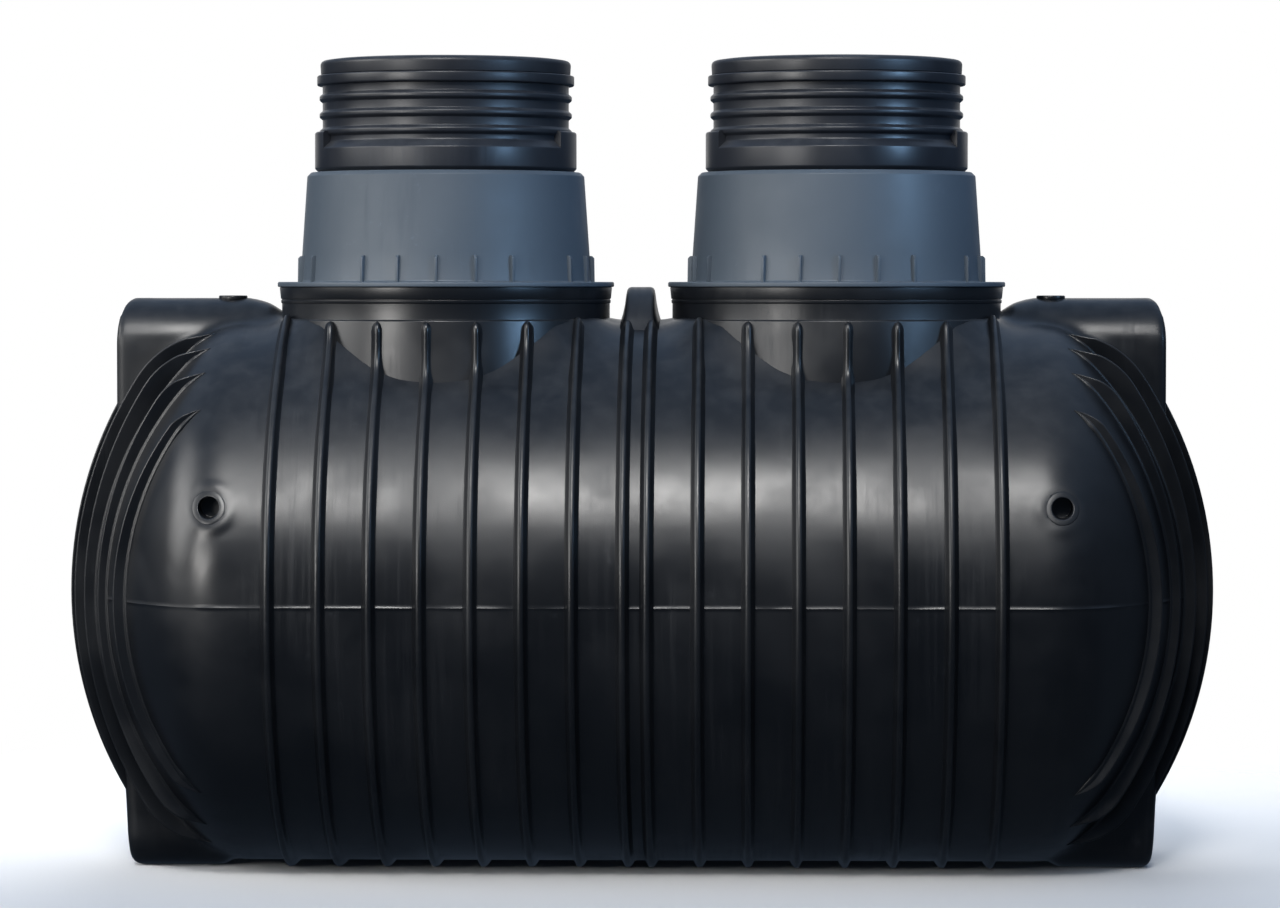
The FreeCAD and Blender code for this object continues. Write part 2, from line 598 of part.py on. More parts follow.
form = round_form()
upper_tube = half_barrel("upper_tube", 0)
lower_tube = half_barrel("lower_tube", 180)
below_floor = level_slab("below_floor", "(-rib_height)", "0")
above_ribs = level_slab("above_ribs", RIB_TOP, LUG_TOP)
neck_openings = []
middle_ribs = []
for side, yaw, sign in SIDES:
    neck_form = place(cylinder(f"{side}_neck_form", "neck_radius", f"{NECK_TOP} - {AXIS}"),
                      x=f"{sign} * {NECK_X}", z=AXIS)
    opening = place(cylinder(f"{side}_neck_opening", NECK_BORE, f"{NECK_TOP} - {AXIS}"),
                    x=f"{sign} * {NECK_X}", z=AXIS)
    neck_openings.append(opening)

    socket_holes = []
    for face, face_sign in FACES:
        name = f"{face}_{side}_socket"
        tube = socket_tool(f"{name}_tube", sign, face_sign, "socket_tube_radius", "socket_seat_height",
                           "socket_depth + socket_floor")
        hole = socket_tool(f"{name}_hole", sign, face_sign, "socket_hole_radius", "2 * socket_seat_height",
                           "socket_depth")
        seat = socket_tool(f"{name}_seat", sign, face_sign, "socket_seat_radius", "socket_seat_height",
                           "wall")
        cup = fused(f"{name}_cup", [cut(seat, form), tube])
        keep(cut(cup, hole), f"{face}_{side}_lifting_socket")
        mouth = socket_tool(f"{name}_mouth", sign, face_sign, "socket_seat_radius", "socket_seat_radius",
                            "-socket_seat_height")
        socket_holes += [tube, mouth]

    stub = stub_block(side, yaw)
    stub_hollow = stub_cavity(side, yaw)
    foot = foot_block(side, yaw)
    foot_hollow = foot_cavity(side, yaw)
    keep(cut(half_end(f"{side}_upper_dome", yaw, 0), stub_hollow, *socket_holes), f"{side}_end_upper")
    keep(cut(half_end(f"{side}_lower_dome", yaw, 180), foot_hollow), f"{side}_end_lower")
    padded_stub = fused(f"{side}_padded_stub", [stub, pipe_pad(side, sign)])
    keep(cut(padded_stub, form, neck_form, stub_hollow), f"{side}_pipe_stub")
    keep(cut(foot, form, foot_hollow), f"{side}_foot")
    keep(end_fins(side, yaw, [form, stub, foot]), f"{side}_end_fins")

    boss = place(cylinder(f"{side}_boss", "boss_radius", "stub_rise + boss_height"),
                 x=f"{sign} * ({STUB_FACE} - boss_setback)", z=BARREL_TOP)
    keep(cut(boss, stub), f"{side}_vent_boss")

    keep(cut(neck_block(side, sign), form), f"{side}_neck")
    keep(neck_collar(side, sign), f"{side}_neck_flange")
    keep(fused(f"{side}_cone", [cone_wall(side, sign)] + gussets(side, sign)), f"{side}_shaft_cone")
    keep(riser(side, sign), f"{side}_shaft_riser")
    keep(lid(side, sign), f"{side}_shaft_lid")

    for index in range(round(number("rib_count")) + 1):
        rib = ring_rib(f"{side}_rib_{index}", sign, index, form, stub, neck_form, below_floor, above_ribs)
        keep(rib, f"{side}_ring_rib_{index + 1}")
        if index == 0:
            middle_ribs.append(rib)

keep(cut(upper_tube, *neck_openings), "upper_barrel")
keep(lower_tube, "lower_barrel")
keep(middle_lug(form, middle_ribs), "middle_lug")

doc.recompute()
for item in doc.Objects:
    if "Invalid" in item.State or "Error" in item.State:
        raise RuntimeError(f"{item.Label} failed: {item.State}")
for item in subparts:
    if item.Shape.isNull() or not item.Shape.isValid() or not item.Shape.Solids:
        raise RuntimeError(f"{item.Label} has no sound solid")

os.makedirs("parts", exist_ok=True)
for item in subparts:
    item.Shape.exportStep(f"parts/{item.Label}.step")
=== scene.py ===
import math

import bmesh
import bpy
from bpy.props import FloatProperty, FloatVectorProperty, IntProperty, PointerProperty
from mathutils import Matrix, Vector
from mathutils.noise import noise as waver


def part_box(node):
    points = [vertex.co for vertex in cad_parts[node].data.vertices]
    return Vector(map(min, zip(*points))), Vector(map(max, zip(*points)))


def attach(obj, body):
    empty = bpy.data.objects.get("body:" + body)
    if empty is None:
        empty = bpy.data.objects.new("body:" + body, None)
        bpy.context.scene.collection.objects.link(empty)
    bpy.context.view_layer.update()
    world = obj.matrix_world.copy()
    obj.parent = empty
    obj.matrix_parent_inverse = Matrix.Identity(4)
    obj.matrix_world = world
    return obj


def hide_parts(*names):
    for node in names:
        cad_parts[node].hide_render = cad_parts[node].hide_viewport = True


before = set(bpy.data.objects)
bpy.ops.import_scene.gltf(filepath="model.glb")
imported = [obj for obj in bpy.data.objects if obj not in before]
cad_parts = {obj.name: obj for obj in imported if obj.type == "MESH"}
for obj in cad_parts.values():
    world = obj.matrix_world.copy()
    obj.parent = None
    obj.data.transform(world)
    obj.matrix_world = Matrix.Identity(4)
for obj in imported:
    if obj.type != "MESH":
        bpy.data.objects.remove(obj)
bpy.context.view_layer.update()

bl_info = {
    "name": "Rainwater Tank Looks",
    "version": (1, 0, 0),
    "blender": (4, 5, 0),
    "location": "3D View > Sidebar > Tank",
    "description": "Moulded shell, ribs, fins, shafts and finishes of an underground rainwater tank",
    "category": "Object",
}

SIDES = (("left", -1), ("right", 1))
FACES = (("front", -1), ("back", 1))
X_AXIS = Vector((1, 0, 0))
Y_AXIS = Vector((0, 1, 0))
Z_AXIS = Vector((0, 0, 1))


def middle(node):
    """Middle of a CAD node's box."""
    low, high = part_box(node)
    return (low + high) / 2


# Heights and lengths of the tank, in metres, read from the frame
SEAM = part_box("upper_barrel")[0].z
AXIS = Vector((0, 0, SEAM))
BARREL_END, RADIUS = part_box("upper_barrel")[1].xy
END_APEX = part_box("right_end_upper")[1].x
END_DEPTH = END_APEX - BARREL_END
NECK_X = middle("right_neck").x
NECK_RADIUS, NECK_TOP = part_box("right_neck")[1].yz
COLLAR_RADIUS, COLLAR_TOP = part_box("right_neck_flange")[1].yz
CONE_FLANGE_RADIUS, CONE_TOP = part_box("right_shaft_cone")[1].yz
RISER_RING_RADIUS, RISER_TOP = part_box("right_shaft_riser")[1].yz
LID_RADIUS, LID_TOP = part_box("right_shaft_lid")[1].yz
STUB_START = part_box("right_pipe_stub")[0].x
STUB_FACE, STUB_HALF_WIDTH, STUB_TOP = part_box("right_pipe_stub")[1]
FOOT_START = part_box("right_foot")[0].x
FOOT_FACE, FOOT_HALF_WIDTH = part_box("right_foot")[1].xy
FIN_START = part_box("right_end_fins")[0].x
FIN_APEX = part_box("right_end_fins")[1].x
RIB_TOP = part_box("right_ring_rib_4")[1].z
LUG_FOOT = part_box("middle_lug")[0].z
LUG_HALF_SPAN, LUG_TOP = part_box("middle_lug")[1].yz
BOSS_X = middle("right_vent_boss").x
BOSS_RADIUS, BOSS_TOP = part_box("right_vent_boss")[1].yz
SOCKET_LOW, SOCKET_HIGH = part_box("back_right_lifting_socket")
SOCKET_X = (SOCKET_LOW.x + SOCKET_HIGH.x) / 2
SOCKET_SEAT_RADIUS = (SOCKET_HIGH.x - SOCKET_LOW.x) / 2
SOCKET_Z = SOCKET_HIGH.z - SOCKET_SEAT_RADIUS
SOCKET_BACK = SOCKET_LOW.y
SOCKET_SEAT = SOCKET_HIGH.y


class TankSizes(bpy.types.PropertyGroup):
    """Sizes of the moulded details that the frame leaves open."""
    voxel: FloatProperty(
        name="Shell Grid", description="Grid on which the moulded shell is blended into one skin",
        default=0.010, min=0.006, max=0.03, unit="LENGTH")
    blend_passes: IntProperty(
        name="Stub Blend", description="Smoothing passes where the stubs grow out of the shell",
        default=30, min=0, max=120)
    end_knuckle: FloatProperty(
        name="End Knuckle", description="Bend between the barrel and the crown of an end",
        default=0.205, unit="LENGTH")
    seam_lip: FloatProperty(
        name="Seam Lip", description="Pinched lip along the seam beyond the shell", default=0.0006,
        unit="LENGTH")
    turn_steps: IntProperty(
        name="Turn Steps", description="Steps of a turned piece", default=128, min=24, max=256)
    fin_crown_depth: FloatProperty(
        name="Fin Crown", description="Depth of the flatter middle stretch of a fin's crest",
        default=0.127, unit="LENGTH")
    fin_plan_slope: FloatProperty(
        name="Fin Fall", description="Slope at which the outer fins fall back, seen from above",
        default=math.radians(30), subtype="ANGLE")
    fin_plan_round: FloatProperty(
        name="Fin Fall Bend", description="Bend of the fins' crest line at the middle", default=0.148,
        unit="LENGTH")
    fin_pitch: FloatProperty(
        name="Fin Pitch", description="Distance between the end fins", default=0.109, unit="LENGTH")


COLOUR = {"subtype": "COLOR", "size": 3, "min": 0, "max": 1}


class TankColours(bpy.types.PropertyGroup):
    """Colours of the plastics and the floor."""
    shell: FloatVectorProperty(
        name="Shell", description="Black polyethylene of the tank",
        default=(0.0024, 0.0030, 0.0042), **COLOUR)
    shell_pale: FloatVectorProperty(
        name="Shell Scuff", description="Paler bloom on the black shell",
        default=(0.0070, 0.0082, 0.0105), **COLOUR)
    cone: FloatVectorProperty(
        name="Cone", description="Grey polyethylene of the cones",
        default=(0.048, 0.063, 0.080), **COLOUR)
    cone_dark: FloatVectorProperty(
        name="Cone Shade", description="Darker mottling of the grey cones",
        default=(0.037, 0.050, 0.065), **COLOUR)
    riser: FloatVectorProperty(
        name="Riser", description="Black plastic of the risers and lids",
        default=(0.007, 0.008, 0.011), **COLOUR)
    riser_pale: FloatVectorProperty(
        name="Riser Scuff", description="Paler streaks on the risers and lids",
        default=(0.017, 0.020, 0.026), **COLOUR)
    floor: FloatVectorProperty(
        name="Floor", description="Pale studio floor",
        default=(0.66, 0.66, 0.66), **COLOUR)


def sizes():
    return bpy.context.scene.tank_sizes


def colours():
    return bpy.context.scene.tank_colours


# Outlines and blocks
MERGE_DISTANCE = 0.00002
SLIVER = 0.00001
SOCKET_STEPS = 64


def arc(centre, radius, first, last, steps):
    """Points of a round stretch from one angle to another, in degrees."""
    points = []
    for step in range(steps + 1):
        angle = math.radians(first + (last - first) * step / steps)
        points.append((centre[0] + radius * math.cos(angle), centre[1] + radius * math.sin(angle)))
    return points


def rounded(corners, steps):
    """Open outline through corners (u, v, radius), each rounded by its radius."""
    points = []
    for index, (u, v, radius) in enumerate(corners):
        here = Vector((u, v))
        if radius <= 0 or index in (0, len(corners) - 1):
            points.append((u, v))
            continue
        before = (Vector(corners[index - 1][:2]) - here).normalized()
        after = (Vector(corners[index + 1][:2]) - here).normalized()
        half = before.angle(after) / 2
        reach = radius / math.tan(half)
        centre = here + (before + after).normalized() * radius / math.sin(half)
        start = here + before * reach - centre
        turn = start.angle_signed(here + after * reach - centre)
        for step in range(steps + 1):
            points.append(tuple(centre + Matrix.Rotation(-turn * step / steps, 2) @ start))
    return points


def outline(bm, points):
    """Chain of edges through 3-D points."""
    verts = [bm.verts.new(point) for point in points]
    edges = [bm.edges.new(pair) for pair in zip(verts, verts[1:])]
    return verts + edges


def verts_of(geom):
    """Vertices in what a bmesh operator has made."""
    return [item for item in geom if isinstance(item, bmesh.types.BMVert)]


def open_edges(bm):
    return [edge for edge in bm.edges if edge.is_boundary]


def edges_at(bm, x):
    """Edges that lie in the plane at a distance x from the middle."""
    return [edge for edge in bm.edges if all(abs(abs(vert.co.x) - x) < SLIVER for vert in edge.verts)]


def turned(corners, x, steps=4, angle=math.tau, start=0.0):
    """Form turned about the upright axis at x from corners (radius, height, round)."""
    bm = bmesh.new()
    points = [(x + r * math.cos(start), r * math.sin(start), z) for r, z in rounded(corners, steps)]
    bmesh.ops.spin(bm, geom=outline(bm, points), cent=(x, 0, 0), axis=Z_AXIS, angle=angle,
                   steps=round(sizes().turn_steps * angle / math.tau), use_merge=angle == math.tau)
    return bm


def turned_level(bm, points, x, face):
    """Turn an outline of (radius, distance from the middle plane) about a socket's level axis."""
    chain = outline(bm, [(x + r, face * y, SOCKET_Z) for r, y in points])
    bmesh.ops.spin(bm, geom=chain, cent=(x, 0, SOCKET_Z), axis=Y_AXIS, angle=math.tau, steps=SOCKET_STEPS,
                   use_merge=True)


def closed_slab(bm, points, length):
    """Flat face through 3-D points, pushed out by a vector to a closed block."""
    face = bm.faces.new([bm.verts.new(point) for point in points])
    pushed = bmesh.ops.extrude_face_region(bm, geom=[face], use_keep_orig=True)["geom"]
    bmesh.ops.translate(bm, vec=length, verts=verts_of(pushed))


def soften(bm, edges, width, segments=4):
    bmesh.ops.bevel(bm, geom=edges, offset=width, affect="EDGES", segments=segments, profile=0.5,
                    material=-1, clamp_overlap=True)


def joined(target, source):
    """Add one bmesh to another and free it."""
    mesh = bpy.data.meshes.new("part")
    source.to_mesh(mesh)
    source.free()
    target.from_mesh(mesh)
    bpy.data.meshes.remove(mesh)


def lofted(bm, rings, first_cap=True, last_cap=True):
    """Skin through a row of rings with equal numbers of points, closed at the ends that want a cap."""
    verts = [bm.verts.new(point) for point in rings[0]]
    count = len(verts)
    edges = [bm.edges.new((verts[i], verts[(i + 1) % count])) for i in range(count)]
    start = edges
    for ring in rings[1:]:
        fresh = set(verts_of(bmesh.ops.extrude_edge_only(bm, edges=edges)["geom"]))
        verts = [next(edge.other_vert(vert) for edge in vert.link_edges if edge.other_vert(vert) in fresh)
                 for vert in verts]
        for vert, point in zip(verts, ring):
            vert.co = point
        edges = [bm.edges.get((verts[i], verts[(i + 1) % count])) for i in range(count)]
    if first_cap:
        bmesh.ops.contextual_create(bm, geom=start)
    if last_cap:
        bmesh.ops.contextual_create(bm, geom=edges)


def both_halves(half):
    """Section from its left half, given root to crest as (across, up)."""
    return list(half) + [(-across, up) for across, up in reversed(half) if across != 0]


def clean(bm):
    """Merge doubles, drop slivers and turn the faces outwards."""
    bmesh.ops.remove_doubles(bm, verts=bm.verts, dist=MERGE_DISTANCE)
    bmesh.ops.dissolve_degenerate(bm, edges=bm.edges, dist=SLIVER)
    bmesh.ops.recalc_face_normals(bm, faces=bm.faces)


def placed(name, bm):
    """Object in the scene made from a bmesh, which is freed."""
    mesh = bpy.data.meshes.new(name)
    bm.to_mesh(mesh)
    bm.free()
    item = bpy.data.objects.new(name, mesh)
    bpy.context.scene.collection.objects.link(item)
    return item


def evaluated(item):
    """Mesh of an object with its modifiers."""
    return bpy.data.meshes.new_from_object(item.evaluated_get(bpy.context.evaluated_depsgraph_get()))


def discard(item):
    """Remove a helper object with its mesh."""
    mesh = item.data
    bpy.data.objects.remove(item)
    bpy.data.meshes.remove(mesh)


def piece(name, bm, slot, *nodes):
    """Finish a mesh as a piece of the tank that stands for CAD nodes."""
    clean(bm)
    for face in bm.faces:
        face.smooth = True
    item = placed(name, bm)
    item.data.materials.append(plastic(slot))
    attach(item, "root")
    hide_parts(*nodes)
    return item


def sharpen(item, degrees):
    item.data.set_sharp_from_angle(angle=math.radians(degrees))


# Domed end: crown and knuckle in the plane of the axis
KNUCKLE_STEPS = 12
CROWN_STEPS = 20


def crown_radius(radius, depth, knuckle):
    """Radius of the crown that runs smoothly into the knuckle of a dished form."""
    reach = radius - knuckle
    return (reach ** 2 + depth ** 2 - knuckle ** 2) / (2 * (depth - knuckle))


def dished(start, radius, depth, knuckle):
    """Half outline of a dished form as (x, r) points from its start to its apex."""
    reach = radius - knuckle
    crown = crown_radius(radius, depth, knuckle)
    slope = math.degrees(math.atan2(reach, crown - depth))
    bend = arc((start, reach), knuckle, 90, slope, KNUCKLE_STEPS)
    return bend + arc((start + depth - crown, 0), crown, slope, 0, CROWN_STEPS)[1:]


def end_radius(x):
    """Radius of the barrel or an end at a distance x from the middle."""
    x = abs(x)
    if x <= BARREL_END:
        return RADIUS
    knuckle = sizes().end_knuckle
    crown = crown_radius(RADIUS, END_DEPTH, knuckle)
    centre = END_APEX - crown
    tangent = centre + (BARREL_END - centre) * crown / (crown - knuckle)
    if x < tangent:
        return RADIUS - knuckle + math.sqrt(knuckle ** 2 - (x - BARREL_END) ** 2)
    return math.sqrt(max(crown ** 2 - (x - centre) ** 2, 0))


# Materials: scales of patterns in waves a metre, depths of bumps in metres
TONE_SCALE = 3.1
PATCH_SCALE = 2.3
RUB_SCALE = 28.0
SPECK_SCALE = 14.0
WAVE_SCALE = 5.0
WAVE_DEPTH = 0.0016
RUN_DEPTH = 0.0005
GRAIN_SCALE = 420.0
GRAIN_DEPTH = 0.0006
MARK_SHARE = 0.55
RUB_SHARE = 0.5
RUB_PALENESS = 3
RUB_MATTING = 0.10
DUST_MATTING = 0.5
DUST_COLOUR = (0.20, 0.21, 0.22)
SPECULAR_LEVEL = 0.42
# Finish of a slot: material, its two colours, stretch of the run marks, roughness, dust
FINISHES = {
    "tank_black": ("shell_plastic", "shell", "shell_pale", (70, 2.5, 2.5), 0.355, 0.06),
    "cone_grey": ("cone_plastic", "cone", "cone_dark", (26, 26, 3), 0.52, 0.10),
    "riser_black": ("riser_plastic", "riser", "riser_pale", (55, 55, 2.5), 0.35, 0.12),
    "lid_black": ("lid_plastic", "riser", "riser_pale", (9, 9, 9), 0.42, 0.14)}


def opaque(colour):
    return (*colour, 1.0)


def fill(tree, item, inputs):
    """Link or set the inputs of a node."""
    for name, value in inputs.items():
        if isinstance(value, bpy.types.NodeSocket):
            tree.links.new(value, item.inputs[name])
        else:
            item.inputs[name].default_value = value


def node(tree, kind, inputs=None, **settings):
    item = tree.nodes.new(kind)
    for name, value in settings.items():
        setattr(item, name, value)
    fill(tree, item, inputs or {})
    return item


def ramp(tree, value, low, high, start=0.0, end=1.0):
    """Value carried from one range to another, eased at both ends."""
    return node(tree, "ShaderNodeMapRange", {
        "Value": value, "From Min": low, "From Max": high, "To Min": start, "To Max": end},
        interpolation_type="SMOOTHSTEP").outputs["Result"]


def maths(tree, operation, *values):
    return node(tree, "ShaderNodeMath", dict(enumerate(values)), operation=operation).outputs[0]


def noise(tree, vector, scale, detail=3.0, roughness=0.55):
    return node(tree, "ShaderNodeTexNoise", {
        "Vector": vector, "Scale": scale, "Detail": detail, "Roughness": roughness}).outputs["Fac"]


def mixed(tree, factor, first, second):
    """Colour between two colours."""
    return node(tree, "ShaderNodeMix", {0: factor, 6: first, 7: second}, data_type="RGBA").outputs[2]


def group_tree(name, inputs, outputs):
    """Shader node group with a vector and further inputs (name, kind, default), and float outputs."""
    tree = bpy.data.node_groups.new(name, "ShaderNodeTree")
    tree.interface.new_socket("Vector", in_out="INPUT", socket_type="NodeSocketVector")
    for socket, kind, default in inputs:
        tree.interface.new_socket(socket, in_out="INPUT", socket_type=kind).default_value = default
    for socket in outputs:
        tree.interface.new_socket(socket, in_out="OUTPUT", socket_type="NodeSocketFloat")
    return tree, tree.nodes.new("NodeGroupInput").outputs, tree.nodes.new("NodeGroupOutput")


def moulding_group(name):
    """Waves and grain of a thick moulded wall, with its slow changes of tone."""
    tree, start, end = group_tree(name, [], ["Tone", "Waves", "Grain"])
    fill(tree, end, {
        "Tone": ramp(tree, noise(tree, start["Vector"], TONE_SCALE, 5.0), 0.32, 0.70),
        "Waves": noise(tree, start["Vector"], WAVE_SCALE, 2.0, 0.4),
        "Grain": noise(tree, start["Vector"], GRAIN_SCALE, 2.0)})
    return tree


def streak_group(name):
    """Fine run marks along one direction of a surface, and rubs, both in patches."""
    tree, start, end = group_tree(name, [("Stretch", "NodeSocketVector", (60, 3, 3))], ["Marks", "Rubs"])
    along = node(tree, "ShaderNodeMapping", {"Vector": start["Vector"], "Scale": start["Stretch"]})
    marks = ramp(tree, noise(tree, along.outputs["Vector"], 1.0, 6.0, 0.62), 0.42, 0.75)
    patches = ramp(tree, noise(tree, start["Vector"], PATCH_SCALE), 0.45, 0.72)
    rubs = ramp(tree, noise(tree, start["Vector"], RUB_SCALE, 6.0, 0.7), 0.58, 0.80)
    fill(tree, end, {
        "Marks": maths(tree, "MULTIPLY", marks, patches), "Rubs": maths(tree, "MULTIPLY", rubs, patches)})
    return tree


def dust_group(name):
    """Thin dust on what faces up."""
    tree, start, end = group_tree(name, [("Amount", "NodeSocketFloat", 0.3)], ["Mask"])
    facing = node(tree, "ShaderNodeSeparateXYZ", {
        "Vector": node(tree, "ShaderNodeNewGeometry").outputs["Normal"]}).outputs["Z"]
    upward = ramp(tree, facing, 0.25, 0.95)
    specks = ramp(tree, noise(tree, start["Vector"], SPECK_SCALE, 7.0, 0.65), 0.35, 0.75)
    fill(tree, end, {
        "Mask": maths(tree, "MULTIPLY", maths(tree, "MULTIPLY", upward, specks), start["Amount"])})
    return tree


def bump(tree, height, strength, depth, below=None):
    """Normal of a bumped surface, over the bumps below it."""
    inputs = {"Height": height, "Strength": strength, "Distance": depth}
    if below:
        inputs["Normal"] = below
    return node(tree, "ShaderNodeBump", inputs).outputs["Normal"]


def plastic(slot):
    """Moulded plastic: toned colour, run marks, rubs, dust and a faintly wavy, grained surface."""
    name, base_name, pale_name, stretch, roughness, dust = FINISHES[slot]
    base = getattr(colours(), base_name)
    pale = getattr(colours(), pale_name)
    if name in bpy.data.materials:
        return bpy.data.materials[name]
    material = bpy.data.materials.new(name)
    material.use_nodes = True
    tree = material.node_tree
    vector = node(tree, "ShaderNodeTexCoord").outputs["Object"]

    def effect(group_name, build, **inputs):
        group = bpy.data.node_groups.get(group_name) or build(group_name)
        return node(tree, "ShaderNodeGroup", {"Vector": vector, **inputs}, node_tree=group).outputs

    wall = effect("moulding", moulding_group)
    marks = effect("run_marks", streak_group, Stretch=stretch)
    layer = effect("dust", dust_group, Amount=dust)
    tone = maths(tree, "MULTIPLY_ADD", marks["Marks"], MARK_SHARE,
                 maths(tree, "MULTIPLY", wall["Tone"], 1 - MARK_SHARE))
    colour = mixed(tree, tone, opaque(base), opaque(pale))
    colour = mixed(tree, maths(tree, "MULTIPLY", marks["Rubs"], RUB_SHARE), colour,
                   opaque([RUB_PALENESS * part for part in pale]))
    colour = mixed(tree, layer["Mask"], colour, opaque(DUST_COLOUR))
    matting = maths(tree, "MULTIPLY", maths(tree, "ADD", marks["Rubs"], marks["Marks"]), RUB_MATTING)
    gloss = maths(tree, "ADD", matting, ramp(tree, wall["Tone"], 0, 1, roughness - 0.05, roughness + 0.07))
    gloss = maths(tree, "ADD", gloss, maths(tree, "MULTIPLY", layer["Mask"], DUST_MATTING))
    surface = bump(tree, wall["Waves"], 1.0, WAVE_DEPTH)
    surface = bump(tree, marks["Marks"], 0.5, RUN_DEPTH, surface)
    surface = bump(tree, wall["Grain"], 0.16, GRAIN_DEPTH, surface)
    fill(tree, tree.nodes["Principled BSDF"], {
        "Base Color": colour, "Roughness": gloss, "Normal": surface, "Specular IOR Level": SPECULAR_LEVEL})
    return material


# Forms of the moulded shell, in metres
BARREL_STEPS = 192
STUB_REACH_IN = 0.016
STUB_FORM_FOOT = SEAM + 0.3
STUB_BACK_ROUND = 0.085
STUB_RIM_ROUND = 0.012
STUB_CROWN = 0.085
STUB_CROWN_LEAN = 0.024
STUB_RIM_BAND = 0.03
FOOT_FORM_HEAD = SEAM - 0.2
FOOT_CORNER = 0.08
FOOT_RIM_ROUND = 0.020
FOOT_RIM_BAND = 0.05
FOOT_LEAN = 0.024
FOOT_LEAN_TOP = 0.34


def round_form():
    """Barrel with its two ends, turned about the long axis."""
    bm = bmesh.new()
    half = dished(BARREL_END, RADIUS, END_DEPTH, sizes().end_knuckle)
    whole = [(-x, r) for x, r in reversed(half)] + half
    chain = outline(bm, [(x, 0, SEAM + r) for x, r in whole])
    bmesh.ops.spin(bm, geom=chain, cent=AXIS, axis=X_AXIS, angle=math.tau, steps=BARREL_STEPS,
                   use_merge=True)
    clean(bm)
    return bm


def stub_form(sign):
    """Arched stub that reaches in over the barrel, with a crown that leans back from its face."""
    bm = bmesh.new()
    start = STUB_START - STUB_REACH_IN
    points = arc((0, STUB_TOP - STUB_HALF_WIDTH), STUB_HALF_WIDTH, 0, 180, 32)
    points += [(-STUB_HALF_WIDTH, STUB_FORM_FOOT), (STUB_HALF_WIDTH, STUB_FORM_FOOT)]
    closed_slab(bm, [(sign * STUB_FACE, y, z) for y, z in points], X_AXIS * sign * (start - STUB_FACE))
    clean(bm)
    soften(bm, edges_at(bm, start), STUB_BACK_ROUND, 8)
    soften(bm, edges_at(bm, STUB_FACE), STUB_RIM_ROUND)
    for vert in bm.verts:
        over = max(vert.co.z - STUB_TOP + STUB_CROWN, 0) / STUB_CROWN
        if abs(vert.co.x) > STUB_FACE - STUB_RIM_BAND:
            vert.co.x -= sign * STUB_CROWN_LEAN * over ** 2
    return bm


def foot_form(sign):
    """Foot under an end with a level sole, its face leaning in towards the sole."""
    bm = bmesh.new()
    side = FOOT_HALF_WIDTH - FOOT_CORNER
    points = arc((side, FOOT_CORNER), FOOT_CORNER, 0, -90, 8)
    points += arc((-side, FOOT_CORNER), FOOT_CORNER, -90, -180, 8)
    points += [(-FOOT_HALF_WIDTH, FOOT_FORM_HEAD), (FOOT_HALF_WIDTH, FOOT_FORM_HEAD)]
    closed_slab(bm, [(sign * FOOT_FACE, y, z) for y, z in points], X_AXIS * sign * (FOOT_START - FOOT_FACE))
    clean(bm)
    soften(bm, edges_at(bm, FOOT_FACE), FOOT_RIM_ROUND)
    for vert in bm.verts:
        if abs(vert.co.x) > FOOT_FACE - FOOT_RIM_BAND:
            vert.co.x -= sign * FOOT_LEAN * max(1 - vert.co.z / FOOT_LEAN_TOP, 0)
    return bm


def remeshed(bm):
    """One closed skin over all the forms in a bmesh."""
    item = placed("forms", bm)
    grid = item.modifiers.new("grid", "REMESH")
    grid.mode = "VOXEL"
    grid.voxel_size = sizes().voxel
    skin = evaluated(item)
    discard(item)
    result = bmesh.new()
    result.from_mesh(skin)
    bpy.data.meshes.remove(skin)
    return result


# Blends of the moulded shell, in metres
GRID_PASSES = 2
SKIN_PASSES = 4
SKIN_END = STUB_FACE - 0.077
SKIN_LOW = SEAM - 0.4
SKIN_HIGH = SEAM + 0.35
STUB_BLEND = 0.12
STUB_BLEND_LOW = SEAM + 0.2
STUB_BLEND_END = STUB_FACE - 0.047
STUB_BLEND_CLEAR = 0.1
STUB_BLEND_SHARES = (1.0, 0.8, 0.55, 0.3)
SWELL_HEIGHT = 0.0024
SWELL_RADIUS = 0.052
SWELL_WIDTH = 0.016
SWELL_CHANGE = 1.2
SWELL_SCALE = 16
WAVE_HEIGHT = 0.0016
END_WAVE_SCALE = 8
END_WAVE_EASE = 0.06
END_WAVE_INNER = 0.3
LIFT_LOW = SEAM + 0.3
LIFT_INNER = NECK_RADIUS - 0.03
LIFT_REACH = 0.03
LIFT_SPREAD = 1.8
# Rise of the shell up a neck: degrees round from the front or back of the neck, metres
NECK_RISE = ((0, 0.0), (12, 0.001), (21, 0.014), (30, 0.035), (43, 0.060), (52, 0.054), (60, 0.036),
             (75, 0.011), (90, 0.002))


def smooth(bm, verts, passes):
    for _ in range(passes):
        bmesh.ops.smooth_vert(bm, verts=verts, factor=0.5, use_axis_x=True, use_axis_y=True, use_axis_z=True)


def neck_rise(across, along):
    """Rise of the shell at the wall of a neck, in the direction of a place beside the neck's middle."""
    angle = math.degrees(math.atan2(abs(across), abs(along)))
    for (first, low), (last, high) in zip(NECK_RISE, NECK_RISE[1:]):
        if angle <= last:
            return low + (high - low) * (angle - first) / (last - first)


def neck_lift(x, y):
    """Rise of the shell at a place beside a neck."""
    across = abs(x) - NECK_X
    away = max(math.hypot(across, y) - NECK_RADIUS, 0)
    rise = neck_rise(across, y)
    return rise * max(1 - away / (LIFT_REACH + LIFT_SPREAD * rise), 0) ** 2


def on_skin(co):
    """Whether a place is off the outer parts of the stubs and feet."""
    return abs(co.x) < SKIN_END or SKIN_LOW < co.z < SKIN_HIGH


